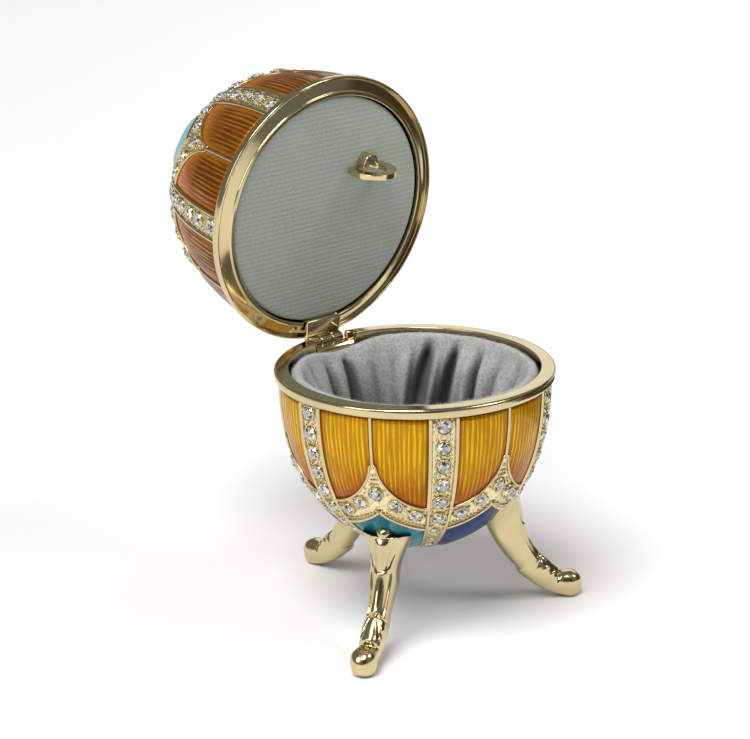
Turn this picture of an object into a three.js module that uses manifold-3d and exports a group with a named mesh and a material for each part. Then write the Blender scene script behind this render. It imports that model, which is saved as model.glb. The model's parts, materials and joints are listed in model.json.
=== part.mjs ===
// Jewelled egg trinket box: an enamelled cast egg on three legs, with a hinged lid.
// Millimetres, +Z up. The lid stands open, as far as its hinge lets it go.
import * as THREE from "three";
import { mergeVertices } from "three/addons/utils/BufferGeometryUtils.js";
import Module from "manifold-3d";

const wasm = await Module();
wasm.setup();

// ---------------------------------------------------------------- driving dimensions
const RIM_RADIUS = 30;          // outer radius of both polished rims
const RIM_HEIGHT = 56.5;        // top face of the cup's rim above the ground
const RIM_BORE = 26.8;          // inner radius of the cup's rim
const RIM_DEPTH = 2.6;          // height of the rounded lip outside the egg
const SKIRT_RADIUS = 27.3;      // outer radius of the skirt that goes inside the shell
const SKIRT_DEPTH = 5;          // how far the skirt goes in
const GAP = 0.3;                // clearance between neighbouring solids
const PARTING_GAP = 0.35;       // between the two rims when the lid is closed

const BODY_RADIUS = 28.8;       // the egg's shell at its mouth
const WALL = 1.2;
// Half eggs: height, how late the side turns in, and how square the shoulder is.
const CUP = { height: 39.8, taper: 2.5, roundness: 1.8 };
const DOME = { height: 38, taper: 2.1, roundness: 2.4 };

const PETALS = 6;
const SECTOR = 360 / PETALS;    // degrees from one stone strip to the next
const STRIP_HALF = 6.2;         // half width of a stone strip, degrees
const RIB_HALF = 1.3;           // half width of the thin rib between two petals, degrees
const RELIEF_STRIP = 0.5;       // how far the strips and the band stand out
const RELIEF_RIB = 0.3;
const STRIP_SHOULDER = 0.9;     // degrees over which a strip's side falls
const BAND_SHOULDER = 0.5;      // depth over which the band's edges fall
const PETAL_SHORT = 12.9;       // depth of a petal's edge at a rib
const PETAL_LONG = 23.3;        // and at a strip
const PETAL_CURVE = 1.8;
const BAND_SHORT = 24.4;        // depth of the scalloped band's outer edge at a rib
const BAND_LONG = 29.2;         // and at a strip
const BAND_CURVE = 1.4;
const PANEL_COLUMNS = [0.36, 0.73];             // shares across a half panel
const PANEL_ROWS = [0.4, 0.75];                 // shares down to the petal's edge
const CROWN_ROWS = [0.35, 0.65, 0.86, 0.97];    // shares from the band to the pole
const BORE_ROWS = [0.96, 0.84, 0.66, 0.45, 0.25];

const LINING_TOP = 1.75;        // depth of the lining's top below the cup's rim
const LINING_THICKNESS = 3;     // at its side
const LINING_FLOOR = 3.3;       // and at the bottom
const LINING_ROUND = 0.8;       // its rounded top edge
const LINING_STEPS = 36;

const LID_LIP_RADIUS = 26.5;    // locating lip under the lid's rim
const LID_LIP_INNER = 25.9;
const LID_LIP_HEIGHT = 0.5;
const DISC_RADIUS = 25.6;
const DISC_THICKNESS = 1.3;
const DISC_RECESS = 0.1;        // the disc's face above the rim's face, lid closed

const OPEN_ANGLE = 82;          // degrees the lid has turned back from closed
const HINGE_Y = 30.2;           // hinge pin behind the egg's axis
const HINGE_DROP = 1.6;         // and below the rim's top face
const KNUCKLE_RADIUS = 1.25;
const PIN_RADIUS = 0.5;
const BORE_RADIUS = 0.8;
const HINGE_HALF = 4.7;         // half length of the hinge along its pin
const MIDDLE_HALF = 1.45;       // half length of the cup's knuckle
const LEAF_TOP = 24.9;          // the lid's leaf reaches this close to the egg's axis
const LEAF_FOOT = 29.6;         // and starts this far out
const LEAF_UNDER = 0.3;         // its underside above the pin, lid closed
const CUP_LEAF = { near: 29.5, far: 31, bottom: 4.4, top: 0.5 };  // heights are below the pin
const NOTCH_SIDE = 0.6;         // room at each end of the hinge
const NOTCH_DEPTH = 3;          // how far the notch goes below the pin
const SKIN = 0.05;              // clearance of faces that only slide or meet
const ROOM = 1;                 // how far a cutting block runs past what it cuts

const LEG_ANGLES = { leg_back: 90, leg_left: 210, leg_right: 330 };
const COLLAR_TOP = 25;          // height of the flat top of a leg's collar
const TOE_REACH = 34.7;         // the toe's ball from the egg's axis
const TOE_RADIUS = 3.05;
const TOE_HALF_WIDTH = 2.8;
const LEG_STEPS = 11;
const LEG_AROUND = 12;
const LEG_SQUARENESS = 2.6;

// The eye: its place on the disc, its ring, and how far its middle stands off the cloth.
const EYE = { x: 9.5, y: -8.5, radius: 5.4, bore: 3, thickness: 1.3, stand: 2.5, steps: 14 };
const STEM = { half: 2, deep: 2.4, tall: 2.2 };

const ROUND_STEPS = 48;
const HINGE_Z = RIM_HEIGHT - HINGE_DROP;
const LID_FACE = RIM_HEIGHT + PARTING_GAP;
const rad = THREE.MathUtils.degToRad;

// ---------------------------------------------------------------- materials
const metal = (color, roughness) => new THREE.MeshStandardMaterial({ color, roughness, metalness: 1 });
const cloth = (color) => new THREE.MeshStandardMaterial({ color, roughness: 0.95, metalness: 0 });
const enamel = (color) => new THREE.MeshStandardMaterial({ color, roughness: 0.15, metalness: 0.2 });
const GOLD = metal(0xe0c68c, 0.2);
const AMBER = enamel(0xc8841a);
const TWILL = cloth(0xa0a89a);
const PLUSH = cloth(0xb9b9b5);

// ---------------------------------------------------------------- geometry helpers
function indexed(geometry) {
  const bare = geometry.clone();
  bare.deleteAttribute("normal");
  bare.deleteAttribute("uv");
  return mergeVertices(bare, 1e-5);
}

function solid(geometry) {
  const bare = indexed(geometry);
  return new wasm.Manifold(new wasm.Mesh({
    numProp: 3,
    vertProperties: new Float32Array(bare.attributes.position.array),
    triVerts: new Uint32Array(bare.index.array),
  }));
}

function geometryOf(manifold) {
  const mesh = manifold.getMesh();
  const geometry = new THREE.BufferGeometry();
  geometry.setAttribute("position", new THREE.BufferAttribute(mesh.vertProperties, 3));
  geometry.setIndex(new THREE.BufferAttribute(mesh.triVerts, 1));
  geometry.computeVertexNormals();
  return geometry;
}

function cut(base, ...tools) {
  return tools.reduce((left, tool) => left.subtract(solid(tool)), base);
}

function join(base, ...others) {
  return others.reduce((sum, other) => sum.add(solid(other)), base);
}

// A box given by its low and high corners.
function block(low, high) {
  const size = high.map((value, i) => value - low[i]);
  return new THREE.BoxGeometry(...size).translate(...low.map((value, i) => value + size[i] / 2));
}

// A rod along X at the hinge, from x0 to x1.
function hingeRod(radius, x0, x1, steps = 20) {
  return new THREE.CylinderGeometry(radius, radius, x1 - x0, steps)
    .rotateZ(Math.PI / 2).translate((x0 + x1) / 2, HINGE_Y, HINGE_Z);
}

// A closed outline in radius and height, spun about Z.
function spun(outline, steps = ROUND_STEPS) {
  const points = outline.map(([r, z]) => new THREE.Vector2(r, z));
  if (THREE.ShapeUtils.area(points) < 0) points.reverse();
  return new THREE.LatheGeometry([...points, points[0]], steps).rotateX(Math.PI / 2);
}

// Joins rings of points, all of one length, between two pole points. The rings turn
// anticlockwise as seen from the start pole.
function lofted(rings, startPole, endPole) {
  const count = rings[0].length;
  const positions = [startPole, ...rings.flat(), endPole].flatMap((p) => p);
  const at = (ring, i) => 1 + ring * count + (i % count);
  const last = rings.length * count + 1;
  const faces = [];
  for (let i = 0; i < count; i += 1) {
    faces.push(0, at(0, i), at(0, i + 1));
    for (let ring = 0; ring + 1 < rings.length; ring += 1) {
      faces.push(at(ring, i), at(ring + 1, i + 1), at(ring, i + 1));
      faces.push(at(ring, i), at(ring + 1, i), at(ring + 1, i + 1));
    }
    faces.push(at(rings.length - 1, i), last, at(rings.length - 1, i + 1));
  }
  const geometry = new THREE.BufferGeometry();
  geometry.setAttribute("position", new THREE.Float32BufferAttribute(positions, 3));
  geometry.setIndex(faces);
  geometry.computeVertexNormals();
  return geometry;
}

// ---------------------------------------------------------------- the egg's form
// Radius of a half egg at a depth below its mouth plane.
function eggRadius(form, depth, radius = BODY_RADIUS) {
  const t = Math.min(Math.max(depth / form.height, 0), 1);
  return radius * Math.max(1 - t ** form.taper, 0) ** (1 / form.roundness);
}

// A quarter-ellipse-like rise from 0 at a rib to 1 at the strip's edge.
function scallop(fromRib, curve) {
  const t = Math.min(Math.max(fromRib / (SECTOR / 2 - STRIP_HALF), 0), 1);
  return (1 - (1 - t) ** curve) ** (1 / curve);
}

const petalDepth = (a) => PETAL_SHORT + (PETAL_LONG - PETAL_SHORT) * scallop(a - RIB_HALF, PETAL_CURVE);
const bandDepth = (a) => BAND_SHORT + (BAND_LONG - BAND_SHORT) * scallop(a, BAND_CURVE);

// Half an egg with its mouth in the plane z = 0 and its dome towards +Z: a hollow shell
// whose outside carries the raised strips, ribs and scalloped band.
function eggShell(form) {
  const mouth = RIM_DEPTH + GAP;
  const panel = SECTOR / 2 - RIB_HALF - STRIP_HALF;
  const halfSector = [
    0, STRIP_HALF - STRIP_SHOULDER, STRIP_HALF,
    ...PANEL_COLUMNS.map((share) => STRIP_HALF + panel * share),
    SECTOR / 2 - RIB_HALF, SECTOR / 2,
  ];
  const columns = [];
  for (let k = 0; k < PETALS; k += 1) {
    for (const a of halfSector) columns.push(k * SECTOR + a);
    for (const a of halfSector.slice(1, -1).reverse()) columns.push((k + 1) * SECTOR - a);
  }
  const fromStrip = (angle) => {
    const turn = angle % SECTOR;
    return Math.min(turn, SECTOR - turn);
  };
  const point = (angle, depth, lift) => {
    const r = eggRadius(form, depth) + lift;
    return [r * Math.cos(rad(angle)), r * Math.sin(rad(angle)), depth];
  };
  const outer = (depthAt, raised) => columns.map((angle) => {
    const s = fromStrip(angle);
    const a = SECTOR / 2 - s;
    let lift = raised ? RELIEF_STRIP : 0;
    if (s < STRIP_HALF - STRIP_SHOULDER / 2) lift = RELIEF_STRIP;
    else if (!raised && a < RIB_HALF / 2) lift = RELIEF_RIB;
    return point(angle, depthAt(a), lift);
  });
  const rings = [
    outer(() => mouth, false),
    ...PANEL_ROWS.map((share) => outer((a) => mouth + (petalDepth(a) - mouth) * share, false)),
    outer(petalDepth, false),
    outer((a) => petalDepth(a) + BAND_SHOULDER, true),
    outer((a) => (petalDepth(a) + bandDepth(a)) / 2, true),
    outer((a) => bandDepth(a) - BAND_SHOULDER, true),
    outer(bandDepth, false),
    ...CROWN_ROWS.map((share) => outer((a) => bandDepth(a) + (form.height - bandDepth(a)) * share, false)),
  ];
  const bore = { ...form, height: form.height - WALL };
  const inner = (depth) => columns.map((angle) => {
    const r = eggRadius(bore, depth, BODY_RADIUS - WALL);
    return [r * Math.cos(rad(angle)), r * Math.sin(rad(angle)), depth];
  });
  const insideRings = [...BORE_ROWS.map((share) => inner(bore.height * share)), inner(mouth)];
  return lofted([...rings.reverse(), ...insideRings.reverse()], [0, 0, form.height], [0, 0, bore.height]);
}

// ---------------------------------------------------------------- cup
function cupShell() {
  const shell = eggShell(CUP).rotateX(Math.PI).translate(0, 0, RIM_HEIGHT);
  return geometryOf(solid(shell));
}

// The notch that lets the hinge sit in the back of the cup's rim.
function hingeNotch() {
  const half = HINGE_HALF + NOTCH_SIDE;
  const high = [half, RIM_RADIUS + 2 * ROOM, RIM_HEIGHT + ROOM];
  return [
    block([-half, LEAF_TOP - GAP, HINGE_Z - 2 * SKIN], high),
    block([-half, HINGE_Y - KNUCKLE_RADIUS - GAP, HINGE_Z - NOTCH_DEPTH], high),
  ];
}

// The rounded lip of a rim: radius, and depth from the rim's face.
const LIP = [[29.3, 0], [29.83, 0.22], [RIM_RADIUS, 0.8], [29.83, 1.4], [29.3, 2.2], [28.4, RIM_DEPTH]];
const BORE_CHAMFER = 0.25;

function cupRim() {
  const outline = [
    [RIM_BORE, SKIRT_DEPTH], [RIM_BORE, BORE_CHAMFER], [RIM_BORE + BORE_CHAMFER, 0],
    ...LIP, [SKIRT_RADIUS, RIM_DEPTH], [SKIRT_RADIUS, SKIRT_DEPTH],
  ];
  const ring = spun(outline.map(([r, depth]) => [r, RIM_HEIGHT - depth]));
  return geometryOf(cut(solid(ring), ...hingeNotch()));
}

// A thick-walled pouch that hangs in the rim and follows the shell down.
function cupLining() {
  const side = RIM_BORE - GAP;
  const outside = { ...CUP, height: CUP.height - 2 * WALL };
  const inside = { ...CUP, height: outside.height - LINING_FLOOR };
  const outline = [1, 0.97, 0.88, 0.72, 0.5, 0.28, 0.13].map((share) => {
    const depth = outside.height * share;
    return [Math.min(side, eggRadius(outside, depth, BODY_RADIUS - WALL - LINING_ROUND)), depth];
  });
  outline.push(
    [side, LINING_TOP + LINING_ROUND],
    [side - LINING_ROUND, LINING_TOP],
    [side - LINING_THICKNESS + LINING_ROUND, LINING_TOP],
  );
  for (const share of [0.09, 0.3, 0.55, 0.78, 0.93, 1]) {
    const depth = inside.height * share;
    outline.push([eggRadius(inside, depth, side - LINING_THICKNESS), depth]);
  }
  return spun(outline.map(([r, depth]) => [r, RIM_HEIGHT - depth]), LINING_STEPS);
}

// ---------------------------------------------------------------- legs
// Stations down a leg: distance from the egg's axis, height, half depth and half width.
const LEG_STATIONS = [
  [17.6, 25.5, 5.0, 5.4], [19.5, 19.7, 4.1, 3.15], [21.0, 15.5, 3.5, 2.9], [22.9, 12.0, 3.0, 2.5],
  [25.1, 9.0, 2.75, 2.35], [27.4, 6.6, 2.9, 2.6], [29.8, 4.6, 2.7, 2.5], [32.1, 3.3, 2.6, 2.4],
  [TOE_REACH, 2.85, TOE_RADIUS, TOE_HALF_WIDTH],
];
const TOE_TILTS = [30, 60];     // degrees round the toe's ball

function leg() {
  const along = new THREE.CatmullRomCurve3(LEG_STATIONS.map(([r, z]) => new THREE.Vector3(r, 0, z)));
  const sizes = new THREE.CatmullRomCurve3(LEG_STATIONS.map(([, , d, w]) => new THREE.Vector3(d, w, 0)));
  const rounded = (value) => Math.sign(value) * Math.abs(value) ** (2 / LEG_SQUARENESS);
  const section = (centre, heading, halfDepth, halfWidth) => {
    const ring = [];
    for (let i = 0; i < LEG_AROUND; i += 1) {
      const angle = (2 * Math.PI * i) / LEG_AROUND;
      const out = halfDepth * rounded(Math.cos(angle));
      const side = halfWidth * rounded(Math.sin(angle));
      ring.push([centre.x - heading.z * out, side, centre.z + heading.x * out]);
    }
    return ring;
  };
  const rings = [];
  for (let i = 0; i <= LEG_STEPS; i += 1) {
    const t = i / LEG_STEPS;
    const size = sizes.getPoint(t);
    rings.push(section(along.getPoint(t), along.getTangent(t), size.x, size.y));
  }
  const ankle = along.getPoint(1);
  const heading = along.getTangent(1);
  const ahead = (reach) => ankle.clone().addScaledVector(heading, reach);
  for (const tilt of TOE_TILTS) {
    const centre = ahead(TOE_RADIUS * Math.sin(rad(tilt)));
    const shrink = Math.cos(rad(tilt));
    rings.push(section(centre, heading, TOE_RADIUS * shrink, TOE_HALF_WIDTH * shrink));
  }
  const blank = lofted(rings, along.getPoint(0).toArray(), ahead(TOE_RADIUS).toArray());
  const reach = 2 * TOE_REACH;
  const ground = block([0, -reach, -reach], [reach, reach, 0]);
  const above = block([0, -reach, COLLAR_TOP], [reach, reach, RIM_HEIGHT]);
  return geometryOf(cut(solid(blank), eggShellBlank(CUP, RELIEF_STRIP + GAP), ground, above));
}

// The cup's outside as a plain solid, grown by a clearance, for trimming the legs.
function eggShellBlank(form, grow) {
  const outline = [[0, 0]];
  for (const t of [0, 0.3, 0.5, 0.65, 0.77, 0.86, 0.93, 0.98]) {
    outline.push([eggRadius(form, form.height * t) + grow, (form.height + grow) * t]);
  }
  outline.push([0, form.height + grow]);
  return spun(outline.map(([r, depth]) => [r, RIM_HEIGHT - depth]));
}

// ---------------------------------------------------------------- hinge
function cupLeaf() {
  const { near, far, bottom, top } = CUP_LEAF;
  const plate = block([-HINGE_HALF, near, HINGE_Z - bottom], [HINGE_HALF, far, HINGE_Z - top]);
  const middle = hingeRod(KNUCKLE_RADIUS, -MIDDLE_HALF, MIDDLE_HALF);
  const outerRoom = [-1, 1].map((side) => {
    const ends = [side * MIDDLE_HALF, side * (HINGE_HALF + ROOM)].sort((a, b) => a - b);
    return hingeRod(KNUCKLE_RADIUS + GAP, ...ends);
  });
  const leaf = join(cut(solid(plate), ...outerRoom), middle);
  return geometryOf(cut(leaf, hingeRod(BORE_RADIUS, -HINGE_HALF, HINGE_HALF)));
}

function lidLeaf() {
  const middleEnd = MIDDLE_HALF + GAP;
  const plate = block(
    [-HINGE_HALF, LEAF_TOP, HINGE_Z + LEAF_UNDER],
    [HINGE_HALF, LEAF_FOOT, RIM_HEIGHT - SKIN],
  );
  const knuckles = [-1, 1].map((side) => {
    const ends = [side * middleEnd, side * HINGE_HALF].sort((a, b) => a - b);
    return hingeRod(KNUCKLE_RADIUS, ...ends);
  });
  const middleRoom = hingeRod(KNUCKLE_RADIUS + GAP, -middleEnd, middleEnd);
  const leaf = join(cut(solid(plate), middleRoom), ...knuckles);
  return geometryOf(cut(leaf, hingeRod(BORE_RADIUS, -HINGE_HALF - ROOM, HINGE_HALF + ROOM)));
}

// ---------------------------------------------------------------- lid, drawn closed
function lidShell() {
  return geometryOf(solid(eggShell(DOME).translate(0, 0, LID_FACE)));
}

function lidRim() {
  const outline = [
    [LID_LIP_INNER, SKIRT_DEPTH], [LID_LIP_INNER, -LID_LIP_HEIGHT],
    [LID_LIP_RADIUS, -LID_LIP_HEIGHT], [LID_LIP_RADIUS, 0],
    ...LIP, [SKIRT_RADIUS, RIM_DEPTH], [SKIRT_RADIUS, SKIRT_DEPTH],
  ];
  const ring = spun(outline.map(([r, height]) => [r, LID_FACE + height]));
  const half = HINGE_HALF + GAP;
  const leafRoom = block(
    [-half, LEAF_TOP - ROOM, LID_FACE - 2 * ROOM],
    [half, RIM_RADIUS + ROOM, LID_FACE - SKIN],
  );
  return geometryOf(cut(solid(ring), leafRoom));
}

function lidDisc() {
  const face = LID_FACE + DISC_RECESS;
  return new THREE.CylinderGeometry(DISC_RADIUS, DISC_RADIUS, DISC_THICKNESS, ROUND_STEPS)
    .rotateX(Math.PI / 2).translate(0, 0, face + DISC_THICKNESS / 2);
}

// A flat ring standing on edge in the cloth, with a block behind its root.
function hangingEye() {
  const face = LID_FACE + DISC_RECESS - GAP;
  const outline = new THREE.Shape();
  outline.absarc(0, 0, EYE.radius, 0, 2 * Math.PI, false);
  const hole = new THREE.Path();
  hole.absarc(0, 0, EYE.bore, 0, 2 * Math.PI, true);
  outline.holes.push(hole);
  const back = EYE.y - EYE.thickness / 2;
  const settings = { depth: EYE.thickness, bevelEnabled: false, curveSegments: EYE.steps };
  const ring = new THREE.ExtrudeGeometry(outline, settings)
    .rotateX(Math.PI / 2).translate(EYE.x, back + EYE.thickness, face - EYE.stand);
  const stem = block(
    [EYE.x - STEM.half, back - STEM.deep, face - STEM.tall],
    [EYE.x + STEM.half, EYE.y, face + ROOM],
  );
  const reach = EYE.radius + EYE.stand;
  const inDisc = block([EYE.x - reach, EYE.y - reach, face], [EYE.x + reach, EYE.y + reach, face + reach]);
  return geometryOf(cut(join(solid(ring), stem), inDisc));
}

// ---------------------------------------------------------------- assembly
function named(name, geometry, material) {
  const mesh = new THREE.Mesh(geometry, material);
  mesh.name = name;
  return mesh;
}

const cup = new THREE.Group();
cup.add(
  named("base_shell", cupShell(), AMBER),
  named("base_rim", cupRim(), GOLD),
  named("base_lining", cupLining(), PLUSH),
  named("base_hinge_leaf", cupLeaf(), GOLD),
  named("hinge_pin", hingeRod(PIN_RADIUS, -HINGE_HALF, HINGE_HALF, 14), GOLD),
);
for (const [name, angle] of Object.entries(LEG_ANGLES)) {
  const mesh = named(name, leg(), GOLD);
  mesh.rotation.z = rad(angle);
  cup.add(mesh);
}

// The lid's pieces are drawn closed, then turned back about the hinge pin.
const lid = new THREE.Group();
const lidPieces = new THREE.Group();
lidPieces.add(
  named("lid_shell", lidShell(), AMBER),
  named("lid_rim", lidRim(), GOLD),
  named("lid_hinge_leaf", lidLeaf(), GOLD),
  named("lid_lining", lidDisc(), TWILL),
  named("hanging_eye", hangingEye(), GOLD),
);
lidPieces.position.set(0, -HINGE_Y, -HINGE_Z);
lid.add(lidPieces);
lid.position.set(0, HINGE_Y, HINGE_Z);
lid.rotation.x = -rad(OPEN_ANGLE);

const eggBox = new THREE.Group();
eggBox.add(cup, lid);

// The origin is on the ground under the middle of the open box.
eggBox.updateMatrixWorld(true);
const middle = new THREE.Box3().setFromObject(eggBox, true).getCenter(new THREE.Vector3());
eggBox.position.set(-middle.x, -middle.y, 0);

export default eggBox;
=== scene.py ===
"""Jewelled egg trinket box, open: enamel, stones, gold castings, plush pouch and twill."""

import json
import math
import random

import bmesh
import bpy
from bpy.props import FloatProperty, FloatVectorProperty, IntProperty, PointerProperty
from mathutils import Matrix, Vector, noise


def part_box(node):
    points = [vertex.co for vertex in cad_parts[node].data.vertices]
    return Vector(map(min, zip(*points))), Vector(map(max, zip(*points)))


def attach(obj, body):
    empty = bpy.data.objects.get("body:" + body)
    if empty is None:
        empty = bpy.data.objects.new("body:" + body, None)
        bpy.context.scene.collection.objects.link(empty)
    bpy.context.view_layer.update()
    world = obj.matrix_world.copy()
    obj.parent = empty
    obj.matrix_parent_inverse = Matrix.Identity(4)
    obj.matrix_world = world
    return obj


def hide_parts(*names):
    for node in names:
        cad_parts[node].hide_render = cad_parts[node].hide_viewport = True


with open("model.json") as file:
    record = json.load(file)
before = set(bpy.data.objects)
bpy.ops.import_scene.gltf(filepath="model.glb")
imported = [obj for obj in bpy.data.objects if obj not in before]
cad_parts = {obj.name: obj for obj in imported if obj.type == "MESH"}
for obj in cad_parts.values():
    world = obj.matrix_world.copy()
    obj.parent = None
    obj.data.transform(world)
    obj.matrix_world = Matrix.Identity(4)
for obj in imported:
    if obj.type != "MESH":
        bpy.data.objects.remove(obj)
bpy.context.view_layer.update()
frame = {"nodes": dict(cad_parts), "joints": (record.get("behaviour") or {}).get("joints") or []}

bl_info = {
    "name": "Jewelled Egg Box",
    "version": (1, 0, 0),
    "blender": (4, 5, 0),
    "location": "View3D > Sidebar > Egg Box",
    "description": "Builds an enamelled, stone-set egg box around its packed frame",
    "category": "Object",
}

MM = 0.001
MERGE = 1e-7                # points nearer than this are one, m
FINISHES = {}               # the materials, by what they are for
TREES = {}                  # the Geometry Nodes trees

# ------------------------------------------------------------------ the egg's form, mm
CUP_FORM = {"height": 39.8, "taper": 2.5, "roundness": 1.8}
DOME_FORM = {"height": 38.0, "taper": 2.1, "roundness": 2.4}
BODY_RADIUS = 28.8
WALL = 1.2
SECTOR = 60.0               # degrees from one strip of stones to the next
STRIP_HALF = 6.3            # half of a strip, degrees
STRIP_WIRE = 5.5            # its edge wires, degrees from its middle
STRIP_SIDE = 6.2            # where the scallops come to their full depth beside it
RIB_HALF = 1.3              # half of a rib, degrees
RIB_EDGE = 0.75             # where the enamel ends beside it
REACH = SECTOR / 2 - STRIP_HALF
ENAMEL_TOP = 2.7            # depths below the mouth
PETAL_SHORT, PETAL_LONG, PETAL_CURVE = 12.9, 23.3, 1.8
BAND_SHORT, BAND_LONG, BAND_CURVE = 24.4, 29.2, 1.4
STRIP_STONES = (4.1, 8.75, 12.95, 17.5, 21.6, 25.9)
SMALL_STONES = (29.95, 32.9, 35.6)
BAND_STONES = ((0.0, 19.85), (9.0, 22.6), (-9.0, 22.6), (18.2, 25.1), (-18.2, 25.1))
STONE_LIFT, GRAIN_LIFT = 0.42, 0.06     # above the egg, and above the beds
RIM_LIP = 2.6
SKIRT_RADIUS, SKIRT_DEPTH = 27.3, 5.0
LIP_SHOULDER = (28.9, RIM_LIP)
LID_LIP_INNER = 25.9
ENAMEL_THICKNESS, BED_THICKNESS = 0.3, 0.5
ENAMEL_LOW, ENAMEL_SLOPE = 0.1, 3.2     # its height along the wires, and how far in it rises
HEART = (0, 0, 8)           # a point inside either half
SLOPE_STEP, POLE_ROOM = 0.02, 0.005
BED_END, ENAMEL_END, WIRE_END = 0.3, 0.05, 0.5      # how far short of the pole they stop
# Radii of the wires along the strips, the ribs, the petals and the band.
STRIP_GAUGE, RIB_GAUGE, PETAL_GAUGE, BAND_GAUGE = 0.47, 0.36, 0.24, 0.44
WIRE_LIFT = 0.2
# How finely the shapes are drawn: points across and along, or steps round.
PETAL_GRID, CROWN_GRID, STRIP_GRID, BAND_GRID = (15, 25), (31, 30), (7, 48), (45, 9)
STRIP_WIRE_POINTS, RIB_WIRE_POINTS, BAND_WIRE_POINTS = 60, 20, 34
SHELL_STEPS, RIM_STEPS, BOSS_STEPS, KNUCKLE_STEPS, EYE_STEPS, DISC_STEPS = 144, 192, 64, 40, 96, 128
STONE_SEED, GRAIN_SEED = 7, 11
OPEN_ANGLE = 82.0
PARTING_GAP = 0.35
HINGE_HALF, KNUCKLE_HALF, KNUCKLE_RADIUS = 4.7, 1.45, 1.25
LEG_ANGLES = {"leg_back": 90, "leg_left": 210, "leg_right": 330}

# Places that the frame gives, in mm.
rim_low, rim_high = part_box("base_rim")
RIM_RADIUS = (rim_high.x - rim_low.x) / 2 / MM
AXIS = Vector(((rim_high.x + rim_low.x) / 2 / MM, rim_low.y / MM + RIM_RADIUS, 0))
RIM_HEIGHT = rim_high.z / MM
lining_low, lining_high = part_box("base_lining")
RIM_BORE = (lining_high.x - lining_low.x) / 2 / MM + 0.3
disc_low, disc_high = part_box("lid_lining")
DISC_RADIUS = (disc_high.x - disc_low.x) / 2 / MM
HINGE = Vector(frame["joints"][0]["pos_m"]) / MM

TO_METRES = Matrix.Scale(MM, 4)
CUP_PLACE = (
    TO_METRES @ Matrix.Translation((AXIS.x, AXIS.y, RIM_HEIGHT)) @ Matrix.Rotation(math.pi, 4, "X")
)
LID_PLACE = (
    TO_METRES
    @ Matrix.Translation(HINGE)
    @ Matrix.Rotation(-math.radians(OPEN_ANGLE), 4, "X")
    @ Matrix.Translation((AXIS.x - HINGE.x, AXIS.y - HINGE.y, RIM_HEIGHT + PARTING_GAP - HINGE.z))
)
AXIS_PLACE = TO_METRES @ Matrix.Translation((AXIS.x, AXIS.y, 0))


def clamp(value, low=0.0, high=1.0):
    return min(max(value, low), high)


def smooth(low, high, value):
    """0 below low, 1 above high, and a smooth rise between; low may be the larger."""
    t = clamp((value - low) / (high - low))
    return t * t * (3 - 2 * t)


def bell(value, middle, width):
    return math.exp(-(((value - middle) / width) ** 2))


def polar(radius, turn, height=0.0):
    """A point by its distance from Z, its turn about Z in radians and its height."""
    return radius * math.cos(turn), radius * math.sin(turn), height


def spaced(low, high, count):
    return [low + (high - low) * i / (count - 1) for i in range(count)]


def away_from(angle, middle):
    """How far one angle is past another, from -180 to 180 degrees."""
    return (angle - middle + 180) % 360 - 180


class HalfEgg:
    """Half of the egg. Its own frame is in mm, with the mouth at z = 0 and the dome to +Z.

    cobalt_at lists the ribs whose crown panels are cobalt, in degrees; the others are teal.
    """

    def __init__(self, name, form, place, cobalt_at):
        self.name = name
        self.form = form
        self.place = place
        self.cobalt_at = cobalt_at

    def radius(self, depth, radius=BODY_RADIUS, height=None):
        """How wide the form is at a depth below its mouth."""
        share = clamp(depth / (height or self.form["height"]))
        turned = max(1 - share ** self.form["taper"], 0)
        return radius * turned ** (1 / self.form["roundness"])

    def outward(self, angle, depth):
        """The surface's unit normal, in the half egg's own frame."""
        high = min(depth + SLOPE_STEP, self.form["height"] - POLE_ROOM)
        low = high - 2 * SLOPE_STEP
        slope = (self.radius(high) - self.radius(low)) / (high - low)
        return Vector(polar(1.0, math.radians(angle), -slope)).normalized()

    def spot(self, angle, depth, lift=0.0):
        """A point on the surface, or lifted off it."""
        point = Vector(polar(self.radius(depth), math.radians(angle), depth))
        return point + self.outward(angle, depth) * lift

    def facing(self, angle, depth):
        """The surface's unit normal, in the whole object's frame."""
        return (self.place.to_3x3() @ self.outward(angle, depth)).normalized()

    def downhill(self, angle, depth):
        """The way along the surface, from the mouth to the pole, in the whole object's frame."""
        near, far = self.spot(angle, depth - 0.1), self.spot(angle, depth + 0.1)
        return (self.place.to_3x3() @ (far - near)).normalized()


CUP = HalfEgg("cup", CUP_FORM, CUP_PLACE, (90, 210, 330))
LID = HalfEgg("lid", DOME_FORM, LID_PLACE, (30, 150, 270))
HALVES = (CUP, LID)
RIBS = [SECTOR * (k + 0.5) for k in range(6)]
STRIPS = [SECTOR * k for k in range(6)]


def scallop(from_rib, curve):
    """A quarter-ellipse-like rise, from 0 at a rib to 1 at a strip's edge."""
    share = clamp(from_rib / (SECTOR / 2 - STRIP_SIDE))
    return (1 - (1 - share) ** curve) ** (1 / curve)


def petal_depth(from_rib):
    """The depth of a petal's rounded end, so many degrees from its rib."""
    return PETAL_SHORT + (PETAL_LONG - PETAL_SHORT) * scallop(abs(from_rib) - RIB_HALF, PETAL_CURVE)


def band_depth(from_rib):
    """The depth of the band's far edge."""
    return BAND_SHORT + (BAND_LONG - BAND_SHORT) * scallop(abs(from_rib), BAND_CURVE)


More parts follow.
